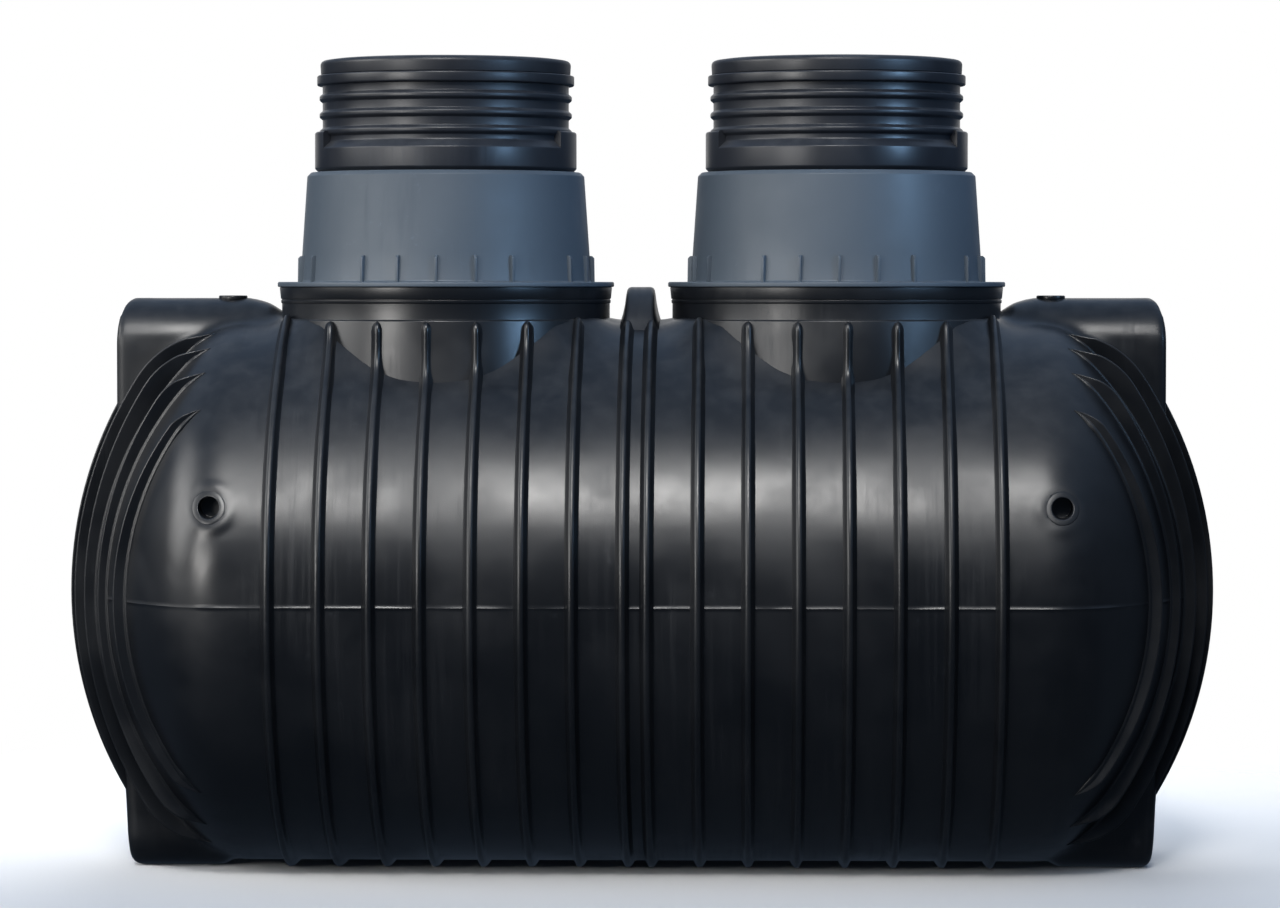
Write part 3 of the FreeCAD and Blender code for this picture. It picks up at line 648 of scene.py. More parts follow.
def at_stub_root(co, share):
    """Whether a place is by the root of a stub, within a share of the blend's reach to the side."""
    x = abs(co.x)
    beside = abs(co.y) < STUB_HALF_WIDTH + STUB_BLEND * share
    above = co.z > STUB_BLEND_LOW
    on_crown = co.z > STUB_TOP - STUB_BLEND_CLEAR and x > BARREL_END
    return BARREL_END - STUB_BLEND < x <= STUB_BLEND_END and beside and above and not on_crown


def end_swell(co):
    """Height of the ring round a socket and of the shallow waves on an end."""
    off_barrel = (abs(co.x) - BARREL_END + END_WAVE_EASE) / END_WAVE_EASE
    if off_barrel <= 0 or abs(co.y) <= END_WAVE_INNER:
        return 0.0
    away = math.hypot(abs(co.x) - SOCKET_X, co.z - SOCKET_Z)
    ring = math.exp(-((away - SWELL_RADIUS) / SWELL_WIDTH) ** 2)
    swell = SWELL_HEIGHT * ring * (1 + SWELL_CHANGE * waver(SWELL_SCALE * co))
    return abs(swell + WAVE_HEIGHT * waver(END_WAVE_SCALE * co) * min(off_barrel, 1))


def blend_shell(bm):
    """Round the joints of stubs and feet, swell the ends and sweep the shell up to the necks."""
    smooth(bm, bm.verts[:], GRID_PASSES)
    smooth(bm, [vert for vert in bm.verts if on_skin(vert.co)], SKIN_PASSES)
    for share in STUB_BLEND_SHARES:
        near = [vert for vert in bm.verts if at_stub_root(vert.co, share)]
        smooth(bm, near, sizes().blend_passes // len(STUB_BLEND_SHARES))
    for vert in bm.verts:
        vert.co.y += math.copysign(end_swell(vert.co), vert.co.y)
        if vert.co.z > LIFT_LOW and math.hypot(abs(vert.co.x) - NECK_X, vert.co.y) > LIFT_INNER:
            vert.co.z += neck_lift(vert.co.x, vert.co.y)


# Seam and socket holes, in metres
SEAM_GAP = 0.0005
LIP_SCALE = 9
LIP_SHARE = 0.5
LIP_LEAST = 0.12
HOLE_RADIUS = 0.036
HOLE_INNER = 0.5
HOLE_OUTER = 0.8


def split_at_seam(bm, upper):
    """Half of the shell with a pinched, uneven lip at the seam and a closed face across it."""
    half = bm.copy()
    gap = SEAM_GAP if upper else -SEAM_GAP
    geom = half.verts[:] + half.edges[:] + half.faces[:]
    bmesh.ops.bisect_plane(half, geom=geom, plane_co=(0, 0, SEAM + gap), plane_no=Z_AXIS,
                           clear_inner=upper, clear_outer=not upper)
    for lip in (sizes().seam_lip, 0.0):
        for vert in verts_of(bmesh.ops.extrude_edge_only(half, edges=open_edges(half))["geom"]):
            aside = Vector((vert.normal.x, vert.normal.y, 0))
            if lip and aside.length > 0:
                share = max(LIP_SHARE + waver(LIP_SCALE * vert.co), LIP_LEAST)
                vert.co += aside.normalized() * lip * share
            vert.co.z -= gap / 2
    bmesh.ops.holes_fill(half, edges=open_edges(half), sides=0)
    return half


def socket_holes():
    """Round holes for the four lifting sockets, as closed forms to cut out."""
    bm = bmesh.new()
    points = [(0, HOLE_INNER), (HOLE_RADIUS, HOLE_INNER), (HOLE_RADIUS, HOLE_OUTER), (0, HOLE_OUTER)]
    for _, sign in SIDES:
        for _, face in FACES:
            turned_level(bm, points, sign * SOCKET_X, face)
    clean(bm)
    return bm


def carved(item, bm):
    """Cut closed forms out of a piece."""
    cutter = placed("cutter", bm)
    cut = item.modifiers.new("cut", "BOOLEAN")
    cut.operation = "DIFFERENCE"
    cut.solver = "EXACT"
    cut.object = cutter
    shape = evaluated(item)
    item.modifiers.remove(cut)
    item.data = shape
    discard(cutter)


class TANK_OT_shell(bpy.types.Operator):
    """Blend barrel, ends, stubs and feet into an upper and a lower moulding"""
    bl_idname = "tank.shell"
    bl_label = "Moulded Shell"

    def execute(self, context):
        forms = round_form()
        upper = ["upper_barrel"]
        lower = ["lower_barrel"]
        for side, sign in SIDES:
            joined(forms, stub_form(sign))
            joined(forms, foot_form(sign))
            upper += [f"{side}_end_upper", f"{side}_pipe_stub"]
            lower += [f"{side}_end_lower", f"{side}_foot"]
        skin = remeshed(forms)
        blend_shell(skin)
        item = piece("upper_shell", split_at_seam(skin, True), "tank_black", *upper)
        carved(item, socket_holes())
        piece("lower_shell", split_at_seam(skin, False), "tank_black", *lower)
        skin.free()
        return {"FINISHED"}


# Ring ribs, in metres: half section from root to crest as (across, up)
RIB_SECTION = both_halves((
    (-0.0205, -0.0160), (-0.0180, -0.0004), (-0.0155, 0.0014), (-0.0132, 0.0052), (-0.0104, 0.0112),
    (-0.0078, 0.0162), (-0.0060, 0.0185), (-0.0032, 0.0197), (0.0, 0.0200)))
RIBS_A_SIDE = 8
RIB_STEPS = 80
RIB_LOWER_STEPS = 60
RIB_BEND_STEPS = 40
RIB_BEND_START = 0.45
RIB_BEND_PASSES = 30
RIB_WALL_STEP = 0.008
RIB_TOP_SCALE = 0.86
RIB_SINK = 0.002
RIB_MERGE = 0.0004
# Rounded nose of a rib: share of its length, share of the full section
RIB_NOSE = ((0.30, 0.95), (0.55, 0.84), (0.76, 0.65), (0.91, 0.41), (0.98, 0.20), (1.0, 0.05))
RIB_NOSE_LENGTH = 0.022
NEAR = 0.001


def rib_path(x, face, lean, start):
    """Points (y, z) of a rib from the front of the barrel up the skin and the wall of a neck to its top."""
    path = []
    for step in range(RIB_BEND_STEPS + 1):
        angle = start + (lean - start) * step / RIB_BEND_STEPS
        y = -RADIUS * math.sin(angle)
        path.append(Vector((y, SEAM + RADIUS * math.cos(angle) + neck_lift(x, y))))
    while path[-1].y < RIB_TOP - NEAR:
        path.append(Vector((-face, min(path[-1].y + RIB_WALL_STEP, RIB_TOP))))
    for _ in range(RIB_BEND_PASSES):
        path[1:-1] = [(a + 2 * b + c) / 4 for a, b, c in zip(path, path[1:], path[2:])]
    return path


def rib_stations(x):
    """Places (root, outward direction, scale) along a rib from under the barrel to its top at the front."""
    def on_barrel(angle):
        outward = Vector((0, -math.sin(angle), math.cos(angle)))
        return AXIS + RADIUS * outward + Vector((x, 0, 0)), outward, 1.0

    aside = abs(abs(x) - NECK_X)
    if aside >= NECK_RADIUS:
        return [on_barrel(math.pi * (1 - step / RIB_STEPS)) for step in range(RIB_STEPS + 1)]
    face = math.sqrt(NECK_RADIUS ** 2 - aside ** 2)
    lean = math.asin(face / RADIUS)
    start = lean + RIB_BEND_START
    places = [on_barrel(math.pi + (start - math.pi) * step / RIB_LOWER_STEPS)
              for step in range(RIB_LOWER_STEPS)]
    path = rib_path(x, face, lean, start)
    end = path[-1]
    while (path[-1] - end).length < RIB_NOSE_LENGTH:
        path.pop()
    path.append(end)
    for index in range(len(path) - 1):
        along = (path[index + 1] - path[max(index - 1, 0)]).normalized()
        outward = Vector((0, -along.y, along.x))
        scale = 1 - (1 - RIB_TOP_SCALE) * (index / len(path)) ** 2
        places.append((Vector((x, *path[index])), outward, scale))
    for share, narrow in RIB_NOSE:
        places.append((Vector((x, *path[-2].lerp(end, share))), outward, narrow * scale))
    return places


def ring_rib(x):
    """Rib from the ground up the front of the barrel and a neck, mirrored to the back."""
    bm = bmesh.new()
    rings = []
    for root, outward, scale in rib_stations(x):
        rings.append([root + X_AXIS * across * scale + outward * (up * scale - RIB_SINK * (1 - scale))
                      for across, up in RIB_SECTION])
    whole = abs(rings[-1][0].y) < NEAR
    lofted(bm, rings, first_cap=False, last_cap=not whole)
    bmesh.ops.mirror(bm, geom=bm.verts[:] + bm.edges[:] + bm.faces[:], axis="Y", merge_dist=RIB_MERGE)
    for vert in bm.verts:
        vert.co.z = max(vert.co.z, 0.0)
    return bm


# Lug between the necks: half section as (across in metres, share of its rise above the skin)
LUG_SECTION = ((-0.0505, 0.0), (-0.0450, 0.22), (-0.0400, 0.52), (-0.0370, 0.80), (-0.0352, 0.91),
               (-0.0315, 0.975), (-0.0250, 1.0), (-0.0100, 1.0))
LUG_ROOT = (-0.054, -0.020)
LUG_STEPS = 32
LUG_OVERRUN = 1.06
LUG_SINK = 0.008


def lug_hump():
    """Hump across the top of the barrel that carries on the middle pair of ribs."""
    bm = bmesh.new()
    drop = LUG_TOP - LUG_FOOT
    radius = (LUG_HALF_SPAN ** 2 + drop ** 2) / (2 * drop)
    rings = []
    for step in range(LUG_STEPS + 1):
        y = LUG_HALF_SPAN * LUG_OVERRUN * (2 * step / LUG_STEPS - 1)
        skin = SEAM + math.sqrt(RADIUS ** 2 - y ** 2)
        top = LUG_TOP - radius + math.sqrt(radius ** 2 - y ** 2)
        rise = max(top - skin, -LUG_SINK)
        half = [LUG_ROOT] + [(across, share * rise) for across, share in LUG_SECTION]
        rings.append([Vector((across, y, skin + up)) for across, up in both_halves(half)])
    lofted(bm, rings)
    return bm


class TANK_OT_ring_ribs(bpy.types.Operator):
    """Sweep the ring ribs round the barrel and up the necks, and raise the lug on the middle pair"""
    bl_idname = "tank.ring_ribs"
    bl_label = "Ring Ribs and Lug"

    def execute(self, context):
        for side, _ in SIDES:
            for index in range(1, RIBS_A_SIDE + 1):
                name = f"{side}_ring_rib_{index}"
                piece(f"{side}_rib_{index}", ring_rib(middle(name).x), "tank_black", name)
        piece("lug", lug_hump(), "tank_black", "middle_lug")
        return {"FINISHED"}


# End fins, in metres: half section as (across, up from the root, up from the crest)
FIN_HALF = ((-0.0200, -0.012, None), (-0.0098, 0.0004, None), (-0.0089, 0.0014, None),
            (-0.0086, 0.0032, None), (-0.0084, 0.0060, None), (-0.0079, None, -0.0060),
            (-0.0077, None, -0.0036), (-0.0069, None, -0.0013), (-0.0050, None, -0.0003), (0.0, None, 0.0))
FINS_A_FACE = 5
FIN_FOCUS = Vector((BARREL_END - 0.25, 0))
FIN_HALVINGS = 24
FIN_LEAN = 0.25
FIN_TIP_SHARE = 0.5
FIN_TIP_EASE = 0.075
FIN_TIP_WIDTH = 0.10
FIN_WIDE_HEIGHT = 0.022
FIN_ROUND_HEIGHT = 0.018


def fin_crest(aside):
    """Crest of the fin at a distance from the middle plane, as (x, z) from its lower to its upper tip."""
    base = end_radius(FIN_START)
    tip = math.sqrt(base ** 2 - aside ** 2)
    bend = sizes().fin_plan_round
    slope = math.tan(sizes().fin_plan_slope)
    fall = math.hypot(bend, aside * slope) - bend
    first_fall = math.hypot(bend, sizes().fin_pitch / 2 * slope) - bend
    depth = FIN_APEX + first_fall - FIN_START - fall
    half = dished(FIN_START, tip, depth, depth - sizes().fin_crown_depth)
    return [(x, -r) for x, r in half] + [(x, r) for x, r in reversed(half[:-1])]


def fin_share(x):
    """Share of its height that a fin keeps on the way to its tips."""
    return min(FIN_TIP_SHARE + (1 - FIN_TIP_SHARE) * (x - FIN_START) / FIN_TIP_EASE, 1.0)


def fin_root(x, z, aside):
    """Point of the end below a point of the crest, on the way to the focus of the fins."""
    low = FIN_FOCUS
    high = Vector((x, z))
    for _ in range(FIN_HALVINGS):
        between = (low + high) / 2
        if math.hypot(between[1], aside) < end_radius(between[0]):
            low = between
        else:
            high = between
    return low


def end_fin(bm, sign, face, index):
    """Crescent plate on an end, leaning a little and finer towards its tips."""
    y = face * sizes().fin_pitch * (index + 0.5)
    rings = []
    for x, z in fin_crest(abs(y)):
        root = fin_root(x, z, abs(y))
        height = (Vector((x, z)) - root).length * fin_share(x)
        outward = (root - FIN_FOCUS).normalized()
        thin = min(1.0, FIN_TIP_WIDTH + height / FIN_WIDE_HEIGHT)
        flat = min(1.0, height / FIN_ROUND_HEIGHT)
        half = [(across * thin, from_crest * flat + height if from_root is None else from_root * flat)
                for across, from_root, from_crest in FIN_HALF]
        ring = []
        for across, up in both_halves(half):
            spot = root + outward * up
            lean = face * FIN_LEAN * (up - height / 2)
            ring.append(Vector((sign * spot[0], y + across + lean, SEAM + spot[1])))
        rings.append(ring)
    lofted(bm, rings)


class TANK_OT_end_fins(bpy.types.Operator):
    """Raise the crescent fins on both ends"""
    bl_idname = "tank.end_fins"
    bl_label = "End Fins"

    def execute(self, context):
        for side, sign in SIDES:
            bm = bmesh.new()
            for _, face in FACES:
                for index in range(FINS_A_FACE):
                    end_fin(bm, sign, face, index)
            piece(f"{side}_fins", bm, "tank_black", f"{side}_end_fins")
        return {"FINISHED"}


# Lifting sockets and vent bosses, in metres
SOCKET_HOLE = 0.0262
SOCKET_WALL = 0.034
SOCKET_LIP = SOCKET_SEAT + 0.0018
SOCKET_FLOOR = SOCKET_BACK + 0.009
BOSS_FOOT = STUB_TOP - 0.02
BOSS_RIM = 0.008
BOSS_DISH = 0.002


def socket_cup(sign, face):
    """Cup whose lip lies on the curve of the end."""
    bm = bmesh.new()
    corners = [
        (0, SOCKET_BACK, 0), (SOCKET_WALL, SOCKET_BACK, 0), (SOCKET_WALL, SOCKET_SEAT - 0.020, 0),
        (SOCKET_SEAT_RADIUS, SOCKET_SEAT - 0.010, 0), (SOCKET_SEAT_RADIUS - 0.002, SOCKET_LIP, 0.004),
        (SOCKET_HOLE, SOCKET_LIP, 0.0035), (SOCKET_HOLE, SOCKET_FLOOR, 0.002), (0, SOCKET_FLOOR, 0)]
    turned_level(bm, rounded(corners, 4), sign * SOCKET_X, face)
    for vert in bm.verts:
        surface = math.sqrt(end_radius(vert.co.x) ** 2 - (vert.co.z - SEAM) ** 2)
        share = (abs(vert.co.y) - SOCKET_BACK) / (SOCKET_SEAT - SOCKET_BACK)
        vert.co.y = face * (SOCKET_BACK + share * (surface - SOCKET_BACK))
    return bm


def boss_form(sign):
    """Round boss with a dished top."""
    inside = BOSS_RADIUS - BOSS_RIM
    return turned([
        (0, BOSS_FOOT, 0), (BOSS_RADIUS, BOSS_FOOT, 0), (BOSS_RADIUS, BOSS_TOP, 0.003),
        (inside, BOSS_TOP, 0.001), (inside - 0.001, BOSS_TOP - BOSS_DISH, 0.001),
        (0, BOSS_TOP - BOSS_DISH, 0)], sign * BOSS_X, 3)


class TANK_OT_sockets(bpy.types.Operator):
    """Turn the lifting sockets and the vent bosses"""
    bl_idname = "tank.sockets"
    bl_label = "Sockets and Bosses"

    def execute(self, context):
        for side, sign in SIDES:
            for name, face in FACES:
                piece(f"{name}_{side}_socket", socket_cup(sign, face), "tank_black",
                      f"{name}_{side}_lifting_socket")
            piece(f"{side}_boss", boss_form(sign), "tank_black", f"{side}_vent_boss")
        return {"FINISHED"}


# Necks and flange rings, in metres
NECK_FOOT = SEAM + 0.50
NECK_FLARE = 0.014
NECK_STEP = 0.004
NECK_LEDGE = RIB_TOP + 0.001
INNER_REACH = 0.05
COLLAR_TAPER = 0.004
GROOVE_FOOT = NECK_TOP + 0.008
GROOVE_DEPTH = 0.002
SHAFT_SHARPNESS = 40


def neck_form(x):
    """Flared neck wall with a small ledge above the ribs."""
    wall = NECK_RADIUS - NECK_STEP
    inside = wall - INNER_REACH
    return turned([
        (inside, NECK_FOOT, 0), (NECK_RADIUS + NECK_FLARE, NECK_FOOT, 0),
        (NECK_RADIUS + 0.0005, NECK_LEDGE, 0.003), (wall, NECK_LEDGE + 0.0025, 0.001),
        (wall, NECK_TOP, 0), (inside, NECK_TOP, 0), (inside, NECK_FOOT, 0)], x, 3)


def flange_form(x):
    """Flange ring that widens upwards, with a fine groove round it."""
    low = COLLAR_RADIUS - COLLAR_TAPER
    inside = low - INNER_REACH
    groove = low + 0.0006 - GROOVE_DEPTH
    return turned([
        (inside, NECK_TOP, 0), (low, NECK_TOP, 0.002), (low + 0.0006, GROOVE_FOOT, 0.0006),
        (groove, GROOVE_FOOT + 0.001, 0.0005), (groove, GROOVE_FOOT + 0.003, 0.0005),
        (low + 0.001, GROOVE_FOOT + 0.004, 0.0006), (COLLAR_RADIUS, COLLAR_TOP, 0.002),
        (inside, COLLAR_TOP, 0), (inside, NECK_TOP, 0)], x, 3)


class TANK_OT_necks(bpy.types.Operator):
    """Turn the necks with their ledge and the grooved flange rings"""
    bl_idname = "tank.necks"
    bl_label = "Necks"

    def execute(self, context):
        for side, sign in SIDES:
            x = sign * NECK_X
            for name, form, part in (("neck_wall", neck_form(x), "neck"),
                                     ("flange_ring", flange_form(x), "neck_flange")):
                item = piece(f"{side}_{name}", form, "tank_black", f"{side}_{part}")
                sharpen(item, SHAFT_SHARPNESS)
        return {"FINISHED"}


# Cones and their gussets, in metres and degrees
CONE_FOOT_RADIUS = NECK_RADIUS - 0.053
CONE_TOP_RADIUS = CONE_FOOT_RADIUS - 0.017
CONE_FOOT = COLLAR_TOP + 0.013
CONE_BEND = CONE_FOOT + 0.080
CONE_CHAMFER = 0.010
GUSSET_ANGLES = [quarter + step * 15 for quarter in (0, 90, 180, 270) for step in (-2, -1, 0, 1, 2)]
GUSSET_FOOT = CONE_FOOT - 0.003
GUSSET_TOP = CONE_FOOT + 0.067
GUSSET_REACH = 0.010
GUSSET_HALF = 0.0035


def gusset(x, angle):
    """Small upright plate with a sloped top at the foot of a cone."""
    bm = bmesh.new()
    outer = CONE_FOOT_RADIUS + GUSSET_REACH
    inner = CONE_FOOT_RADIUS - GUSSET_REACH
    points = [(inner, GUSSET_FOOT), (outer, GUSSET_FOOT), (outer - 0.001, GUSSET_TOP - 0.006),
              (outer - 0.007, GUSSET_TOP), (inner, GUSSET_TOP)]
    closed_slab(bm, [(r, -GUSSET_HALF, z) for r, z in points], Y_AXIS * 2 * GUSSET_HALF)
    clean(bm)
    edges = [edge for edge in bm.edges if all(vert.co.x > inner + NEAR for vert in edge.verts)]
    soften(bm, edges, 0.0012, 2)
    bmesh.ops.rotate(bm, cent=(0, 0, 0), matrix=Matrix.Rotation(math.radians(angle), 3, "Z"), verts=bm.verts)
    bmesh.ops.translate(bm, vec=(x, 0, 0), verts=bm.verts)
    return bm


def cone_form(x):
    """Tapered cone on a base flange, chamfered at the top, with gussets round its foot."""
    base = CONE_FOOT_RADIUS - 0.02
    inside = CONE_TOP_RADIUS - INNER_REACH
    bm = turned([
        (base, COLLAR_TOP, 0), (CONE_FLANGE_RADIUS, COLLAR_TOP, 0.003),
        (CONE_FLANGE_RADIUS, CONE_FOOT, 0.004), (CONE_FOOT_RADIUS + 0.001, CONE_FOOT, 0.005),
        (CONE_FOOT_RADIUS - 0.004, CONE_BEND, 0.02),
        (CONE_TOP_RADIUS, CONE_TOP - CONE_CHAMFER, 0.006), (CONE_TOP_RADIUS - CONE_CHAMFER, CONE_TOP, 0.006),
        (inside, CONE_TOP, 0), (inside, COLLAR_TOP, 0), (base, COLLAR_TOP, 0)], x)
    for angle in GUSSET_ANGLES:
        joined(bm, gusset(x, angle))
    return bm


class TANK_OT_cones(bpy.types.Operator):
    """Turn the grey cones and set the gussets round their feet"""
    bl_idname = "tank.cones"
    bl_label = "Cones"

    def execute(self, context):
        for side, sign in SIDES:
            item = piece(f"{side}_cone", cone_form(sign * NECK_X), "cone_grey", f"{side}_shaft_cone")
            sharpen(item, SHAFT_SHARPNESS)
        return {"FINISHED"}


# Risers and lids, in metres and degrees
RISER_WALL = RISER_RING_RADIUS - 0.020
RISER_FOOT = CONE_TOP - 0.02
RISER_RIBS = 3
RISER_RIB_FOOT = CONE_TOP + 0.091
RISER_RIB_PITCH = 0.044
RISER_RIB_DEPTH = 0.008
RISER_RIM_FOOT = CONE_TOP + 0.223
RISER_RIM = RISER_WALL + 0.014
SIDE_LUG_FOOT = CONE_TOP + 0.02
SIDE_LUG_TOP = CONE_TOP + 0.104
SIDE_LUG_SPAN = 52
SIDE_LUG_STARTS = (-26, 154)
LID_FOOT = RISER_TOP - 0.004
LID_DISH = LID_TOP - 0.006
RISER_SHARPNESS = 50


def riser_corners():
    """Outline of a riser: foot ring, wall with rounded ribs, and rim."""
    ring = RISER_RING_RADIUS
    wall = RISER_WALL
    corners = [
        (wall - 0.03, RISER_FOOT, 0), (ring - 0.010, CONE_TOP, 0.002), (ring, CONE_TOP + 0.009, 0.006),
        (ring, CONE_TOP + 0.060, 0.006), (wall, CONE_TOP + 0.078, 0.008)]
    crest = wall + RISER_RIB_DEPTH
    for index in range(RISER_RIBS):
        foot = RISER_RIB_FOOT + RISER_RIB_PITCH * index
        corners += [(wall, foot, 0.003), (crest, foot + 0.0065, 0.006), (crest, foot + 0.0165, 0.006),
                    (wall, foot + 0.023, 0.003)]
    return corners + [
        (wall, RISER_RIM_FOOT, 0.002), (RISER_RIM, RISER_RIM_FOOT, 0.004), (RISER_RIM, RISER_TOP, 0.004),
        (wall - 0.02, RISER_TOP, 0), (wall - 0.03, RISER_FOOT, 0)]


def side_lug(x, start):
    """Raised stretch above the foot ring of a riser, closed at both ends."""
    inside = RISER_WALL - 0.01
    lug = turned([
        (inside, SIDE_LUG_FOOT, 0), (RISER_RING_RADIUS, SIDE_LUG_FOOT, 0),
        (RISER_RING_RADIUS, SIDE_LUG_TOP, 0.006), (inside, SIDE_LUG_TOP, 0), (inside, SIDE_LUG_FOOT, 0)],
        x, angle=math.radians(SIDE_LUG_SPAN), start=math.radians(start))
    clean(lug)
    bmesh.ops.holes_fill(lug, edges=open_edges(lug), sides=0)
    return lug


class TANK_OT_risers(bpy.types.Operator):
    """Turn the ribbed risers with their foot rings and side lugs"""
    bl_idname = "tank.risers"
    bl_label = "Risers"

    def execute(self, context):
        for side, sign in SIDES:
            x = sign * NECK_X
            bm = turned(riser_corners(), x)
            clean(bm)
            for start in SIDE_LUG_STARTS:
                joined(bm, side_lug(x, start))
            item = piece(f"{side}_riser", bm, "riser_black", f"{side}_shaft_riser")
            sharpen(item, RISER_SHARPNESS)
        return {"FINISHED"}


class TANK_OT_lids(bpy.types.Operator):
    """Turn the lids with their rounded edge and dished top"""
    bl_idname = "tank.lids"
    bl_label = "Lids"

    def execute(self, context):
        corners = [
            (0, LID_FOOT, 0), (LID_RADIUS - 0.012, LID_FOOT, 0),
            (LID_RADIUS - 0.002, RISER_TOP + 0.002, 0.001), (LID_RADIUS, LID_TOP - 0.004, 0.012),
            (LID_RADIUS - 0.030, LID_TOP, 0.02),
            (LID_RADIUS - 0.045, LID_TOP, 0.003), (LID_RADIUS - 0.050, LID_DISH, 0.003), (0, LID_DISH, 0)]
        for side, sign in SIDES:
            item = piece(f"{side}_lid", turned(corners, sign * NECK_X, 5), "lid_black",
                         f"{side}_shaft_lid")
            sharpen(item, RISER_SHARPNESS)
        return {"FINISHED"}


# Stage
FLOOR_RADIUS = 3.6
FLOOR_FADE_START = 0.47
FLOOR_FADE_END = 0.97
ROOM_LOW = (0.072, 0.10, 0.145)
ROOM_HIGH = (0.46, 0.64, 0.94)
ROOM_STRENGTH = 0.68
# Lamps: name, place, target, width and height in metres, watts, colour, spread in degrees
LAMPS = (
    ("key", (-1.7, -5.6, 6.2), (-1.45, -0.5, 1.35), 6.4, 2.2, 44, (1.0, 0.985, 0.96), 24),
    ("side", (-5.4, -6.8, 2.9), (-0.2, -0.3, 1.5), 2.4, 3.0, 19, (1.0, 0.98, 0.95), 36),
    ("left", (-7.2, -1.8, 3.7), (-1.2, -0.3, 0.9), 6.5, 5.0, 70, (1.0, 0.99, 0.97), 50),
    ("sky", (5.0, -3.4, 3.1), (0.0, -0.1, 1.68), 1.8, 0.7, 3.6, (0.36, 0.63, 1.0), 18),
    ("back", (0.0, 5.5, 5.0), (0, 2.5, 0), 6.0, 2.0, 260, (0.96, 0.98, 1.0), 120))
# Camera, with its lens and its aim in pixels of the picture
IMAGE_WIDTH = 1280
CAMERA_FOCAL = 4500
CAMERA_PLACE = (0.282, -11.65, 1.494)
CAMERA_DROP = 169
CAMERA_TURN = 110


def area_light(name, place, target, width, height, power, colour, spread):
    data = bpy.data.lights.new(name, "AREA")
    data.shape = "RECTANGLE"
    data.size = width
    data.size_y = height
    data.energy = power
    data.color = colour
    data.spread = math.radians(spread)
    item = bpy.data.objects.new(name, data)
    item.location = place
    item.rotation_euler = (Vector(target) - Vector(place)).to_track_quat("-Z", "Y").to_euler()
    bpy.context.scene.collection.objects.link(item)
    return item


def floor_disc():
    """Pale round floor that fades into the backdrop at its edge and is not mirrored in the shell."""
    bm = bmesh.new()
    bmesh.ops.create_circle(bm, cap_ends=True, segments=96, radius=FLOOR_RADIUS)
    floor = placed("floor", bm)
    material = bpy.data.materials.new("floor_pale")
    material.use_nodes = True
    tree = material.node_tree
    shader = tree.nodes["Principled BSDF"]
    fill(tree, shader, {"Base Color": opaque(colours().floor), "Roughness": 0.9})
    away = node(tree, "ShaderNodeVectorMath", {
        0: node(tree, "ShaderNodeTexCoord").outputs["Object"]}, operation="LENGTH").outputs["Value"]
    fade = ramp(tree, away, FLOOR_RADIUS * FLOOR_FADE_START, FLOOR_RADIUS * FLOOR_FADE_END)
    clear = node(tree, "ShaderNodeBsdfTransparent")
    mix = node(tree, "ShaderNodeMixShader", {0: fade, 1: shader.outputs[0], 2: clear.outputs[0]})
    tree.links.new(mix.outputs[0], tree.nodes["Material Output"].inputs["Surface"])
    floor.data.materials.append(material)
    floor.visible_glossy = False


def studio_world():
    """Dim room with a bright ceiling and a white backdrop behind the tank."""
    world = bpy.data.worlds.new("studio")
    bpy.context.scene.world = world
    world.use_nodes = True
    tree = world.node_tree
    room = tree.nodes["Background"]
    path = node(tree, "ShaderNodeLightPath").outputs
    direction = node(tree, "ShaderNodeSeparateXYZ", {
        "Vector": node(tree, "ShaderNodeTexCoord").outputs["Generated"]}).outputs
    ceiling = mixed(tree, ramp(tree, direction["Z"], 0.05, 0.80), opaque(ROOM_LOW), opaque(ROOM_HIGH))
    fill(tree, room, {"Color": ceiling, "Strength": ROOM_STRENGTH})
    white = node(tree, "ShaderNodeBackground", {"Color": (1, 1, 1, 1), "Strength": 1.0})
    mirrored = maths(tree, "MAXIMUM", path["Is Glossy Ray"], path["Is Transmission Ray"])
    backdrop = maths(tree, "MULTIPLY", ramp(tree, direction["Y"], 0.80, 0.97),
                     ramp(tree, direction["Z"], -0.03, 0.03))
    seen = maths(tree, "MAXIMUM", path["Is Camera Ray"], maths(tree, "MULTIPLY", mirrored, backdrop))
    mix = node(tree, "ShaderNodeMixShader", {0: seen, 1: room.outputs[0], 2: white.outputs[0]})
    tree.links.new(mix.outputs[0], tree.nodes["World Output"].inputs["Surface"])


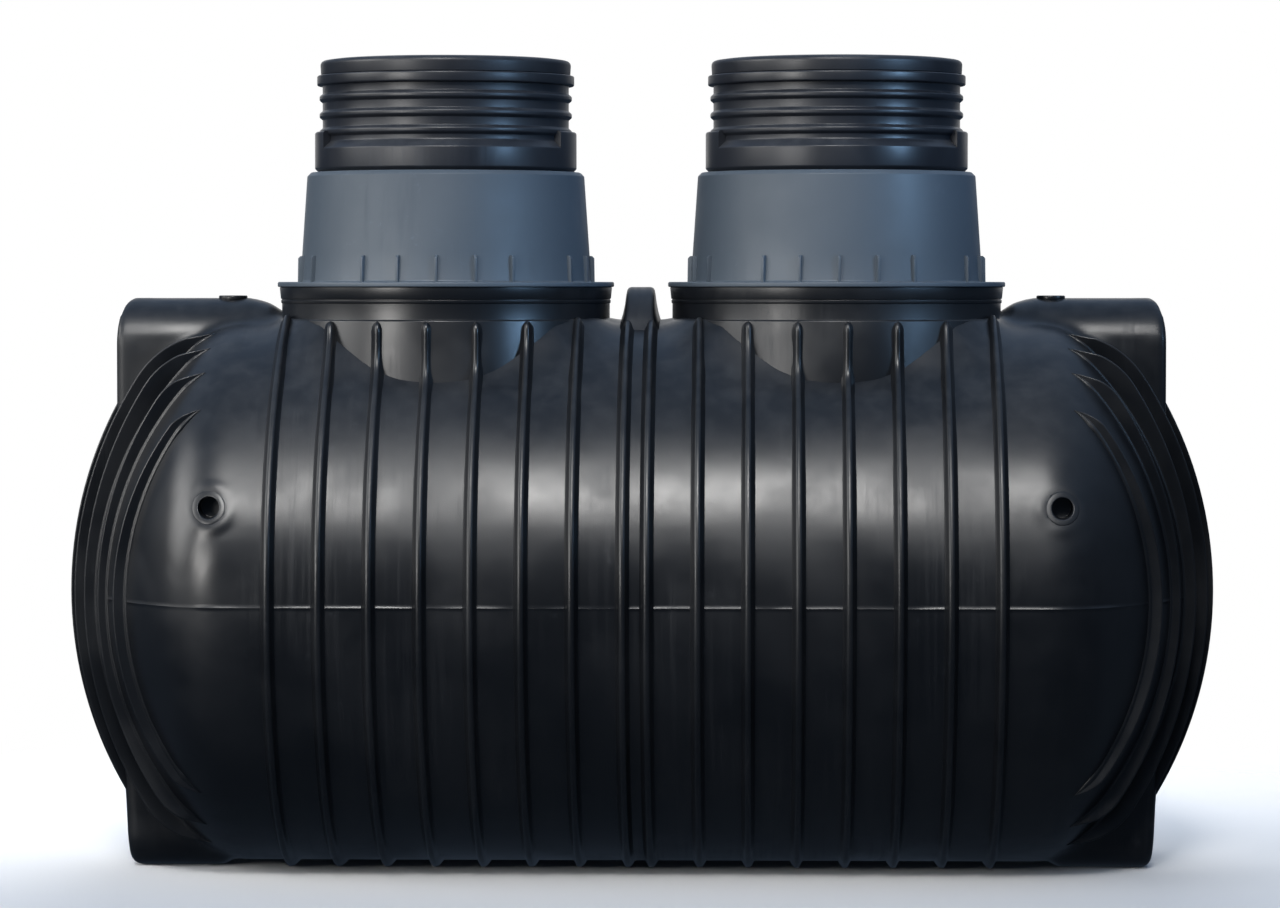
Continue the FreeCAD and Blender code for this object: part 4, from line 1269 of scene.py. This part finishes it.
def photo_camera():
    """Camera at the height, distance and lens of the picture."""
    camera = bpy.data.cameras.new("camera")
    camera.sensor_width = 36.0
    camera.lens = CAMERA_FOCAL / IMAGE_WIDTH * camera.sensor_width
    camera.clip_end = 200
    item = bpy.data.objects.new("camera", camera)
    item.location = CAMERA_PLACE
    pitch = math.atan2(CAMERA_DROP, CAMERA_FOCAL)
    yaw = math.atan2(CAMERA_TURN, CAMERA_FOCAL)
    item.rotation_euler = (math.radians(90) - pitch, 0, yaw)
    bpy.context.scene.collection.objects.link(item)
    bpy.context.scene.camera = item


class TANK_OT_stage(bpy.types.Operator):
    """Set the pale floor, the soft light and the camera"""
    bl_idname = "tank.stage"
    bl_label = "Stage"

    def execute(self, context):
        context.scene.view_settings.view_transform = "Standard"
        floor_disc()
        studio_world()
        for name, *settings in LAMPS:
            lamp = area_light(name, *settings)
            lamp.visible_glossy = name != "back"
        photo_camera()
        return {"FINISHED"}


class TANK_PT_sidebar(bpy.types.Panel):
    """Sidebar list of the tank's pieces"""
    bl_label = "Rainwater Tank"
    bl_idname = "TANK_PT_sidebar"
    bl_space_type = "VIEW_3D"
    bl_region_type = "UI"
    bl_category = "Tank"

    def draw(self, context):
        for operator in OPERATORS:
            self.layout.operator(operator.bl_idname)
        for group in (context.scene.tank_sizes, context.scene.tank_colours):
            for name in group.bl_rna.properties.keys():
                if name not in ("rna_type", "name"):
                    self.layout.prop(group, name)


OPERATORS = (TANK_OT_shell, TANK_OT_ring_ribs, TANK_OT_end_fins, TANK_OT_sockets, TANK_OT_necks,
             TANK_OT_cones, TANK_OT_risers, TANK_OT_lids, TANK_OT_stage)
CLASSES = (TankSizes, TankColours, *OPERATORS, TANK_PT_sidebar)


def register():
    for cls in CLASSES:
        bpy.utils.register_class(cls)
    bpy.types.Scene.tank_sizes = PointerProperty(type=TankSizes)
    bpy.types.Scene.tank_colours = PointerProperty(type=TankColours)


def unregister():
    del bpy.types.Scene.tank_colours
    del bpy.types.Scene.tank_sizes
    for cls in reversed(CLASSES):
        bpy.utils.unregister_class(cls)


def main():
    register()
    bpy.ops.tank.shell()
    bpy.ops.tank.ring_ribs()
    bpy.ops.tank.end_fins()
    bpy.ops.tank.sockets()
    bpy.ops.tank.necks()
    bpy.ops.tank.cones()
    bpy.ops.tank.risers()
    bpy.ops.tank.lids()
    bpy.ops.tank.stage()


if __name__ == "__main__":
    main()
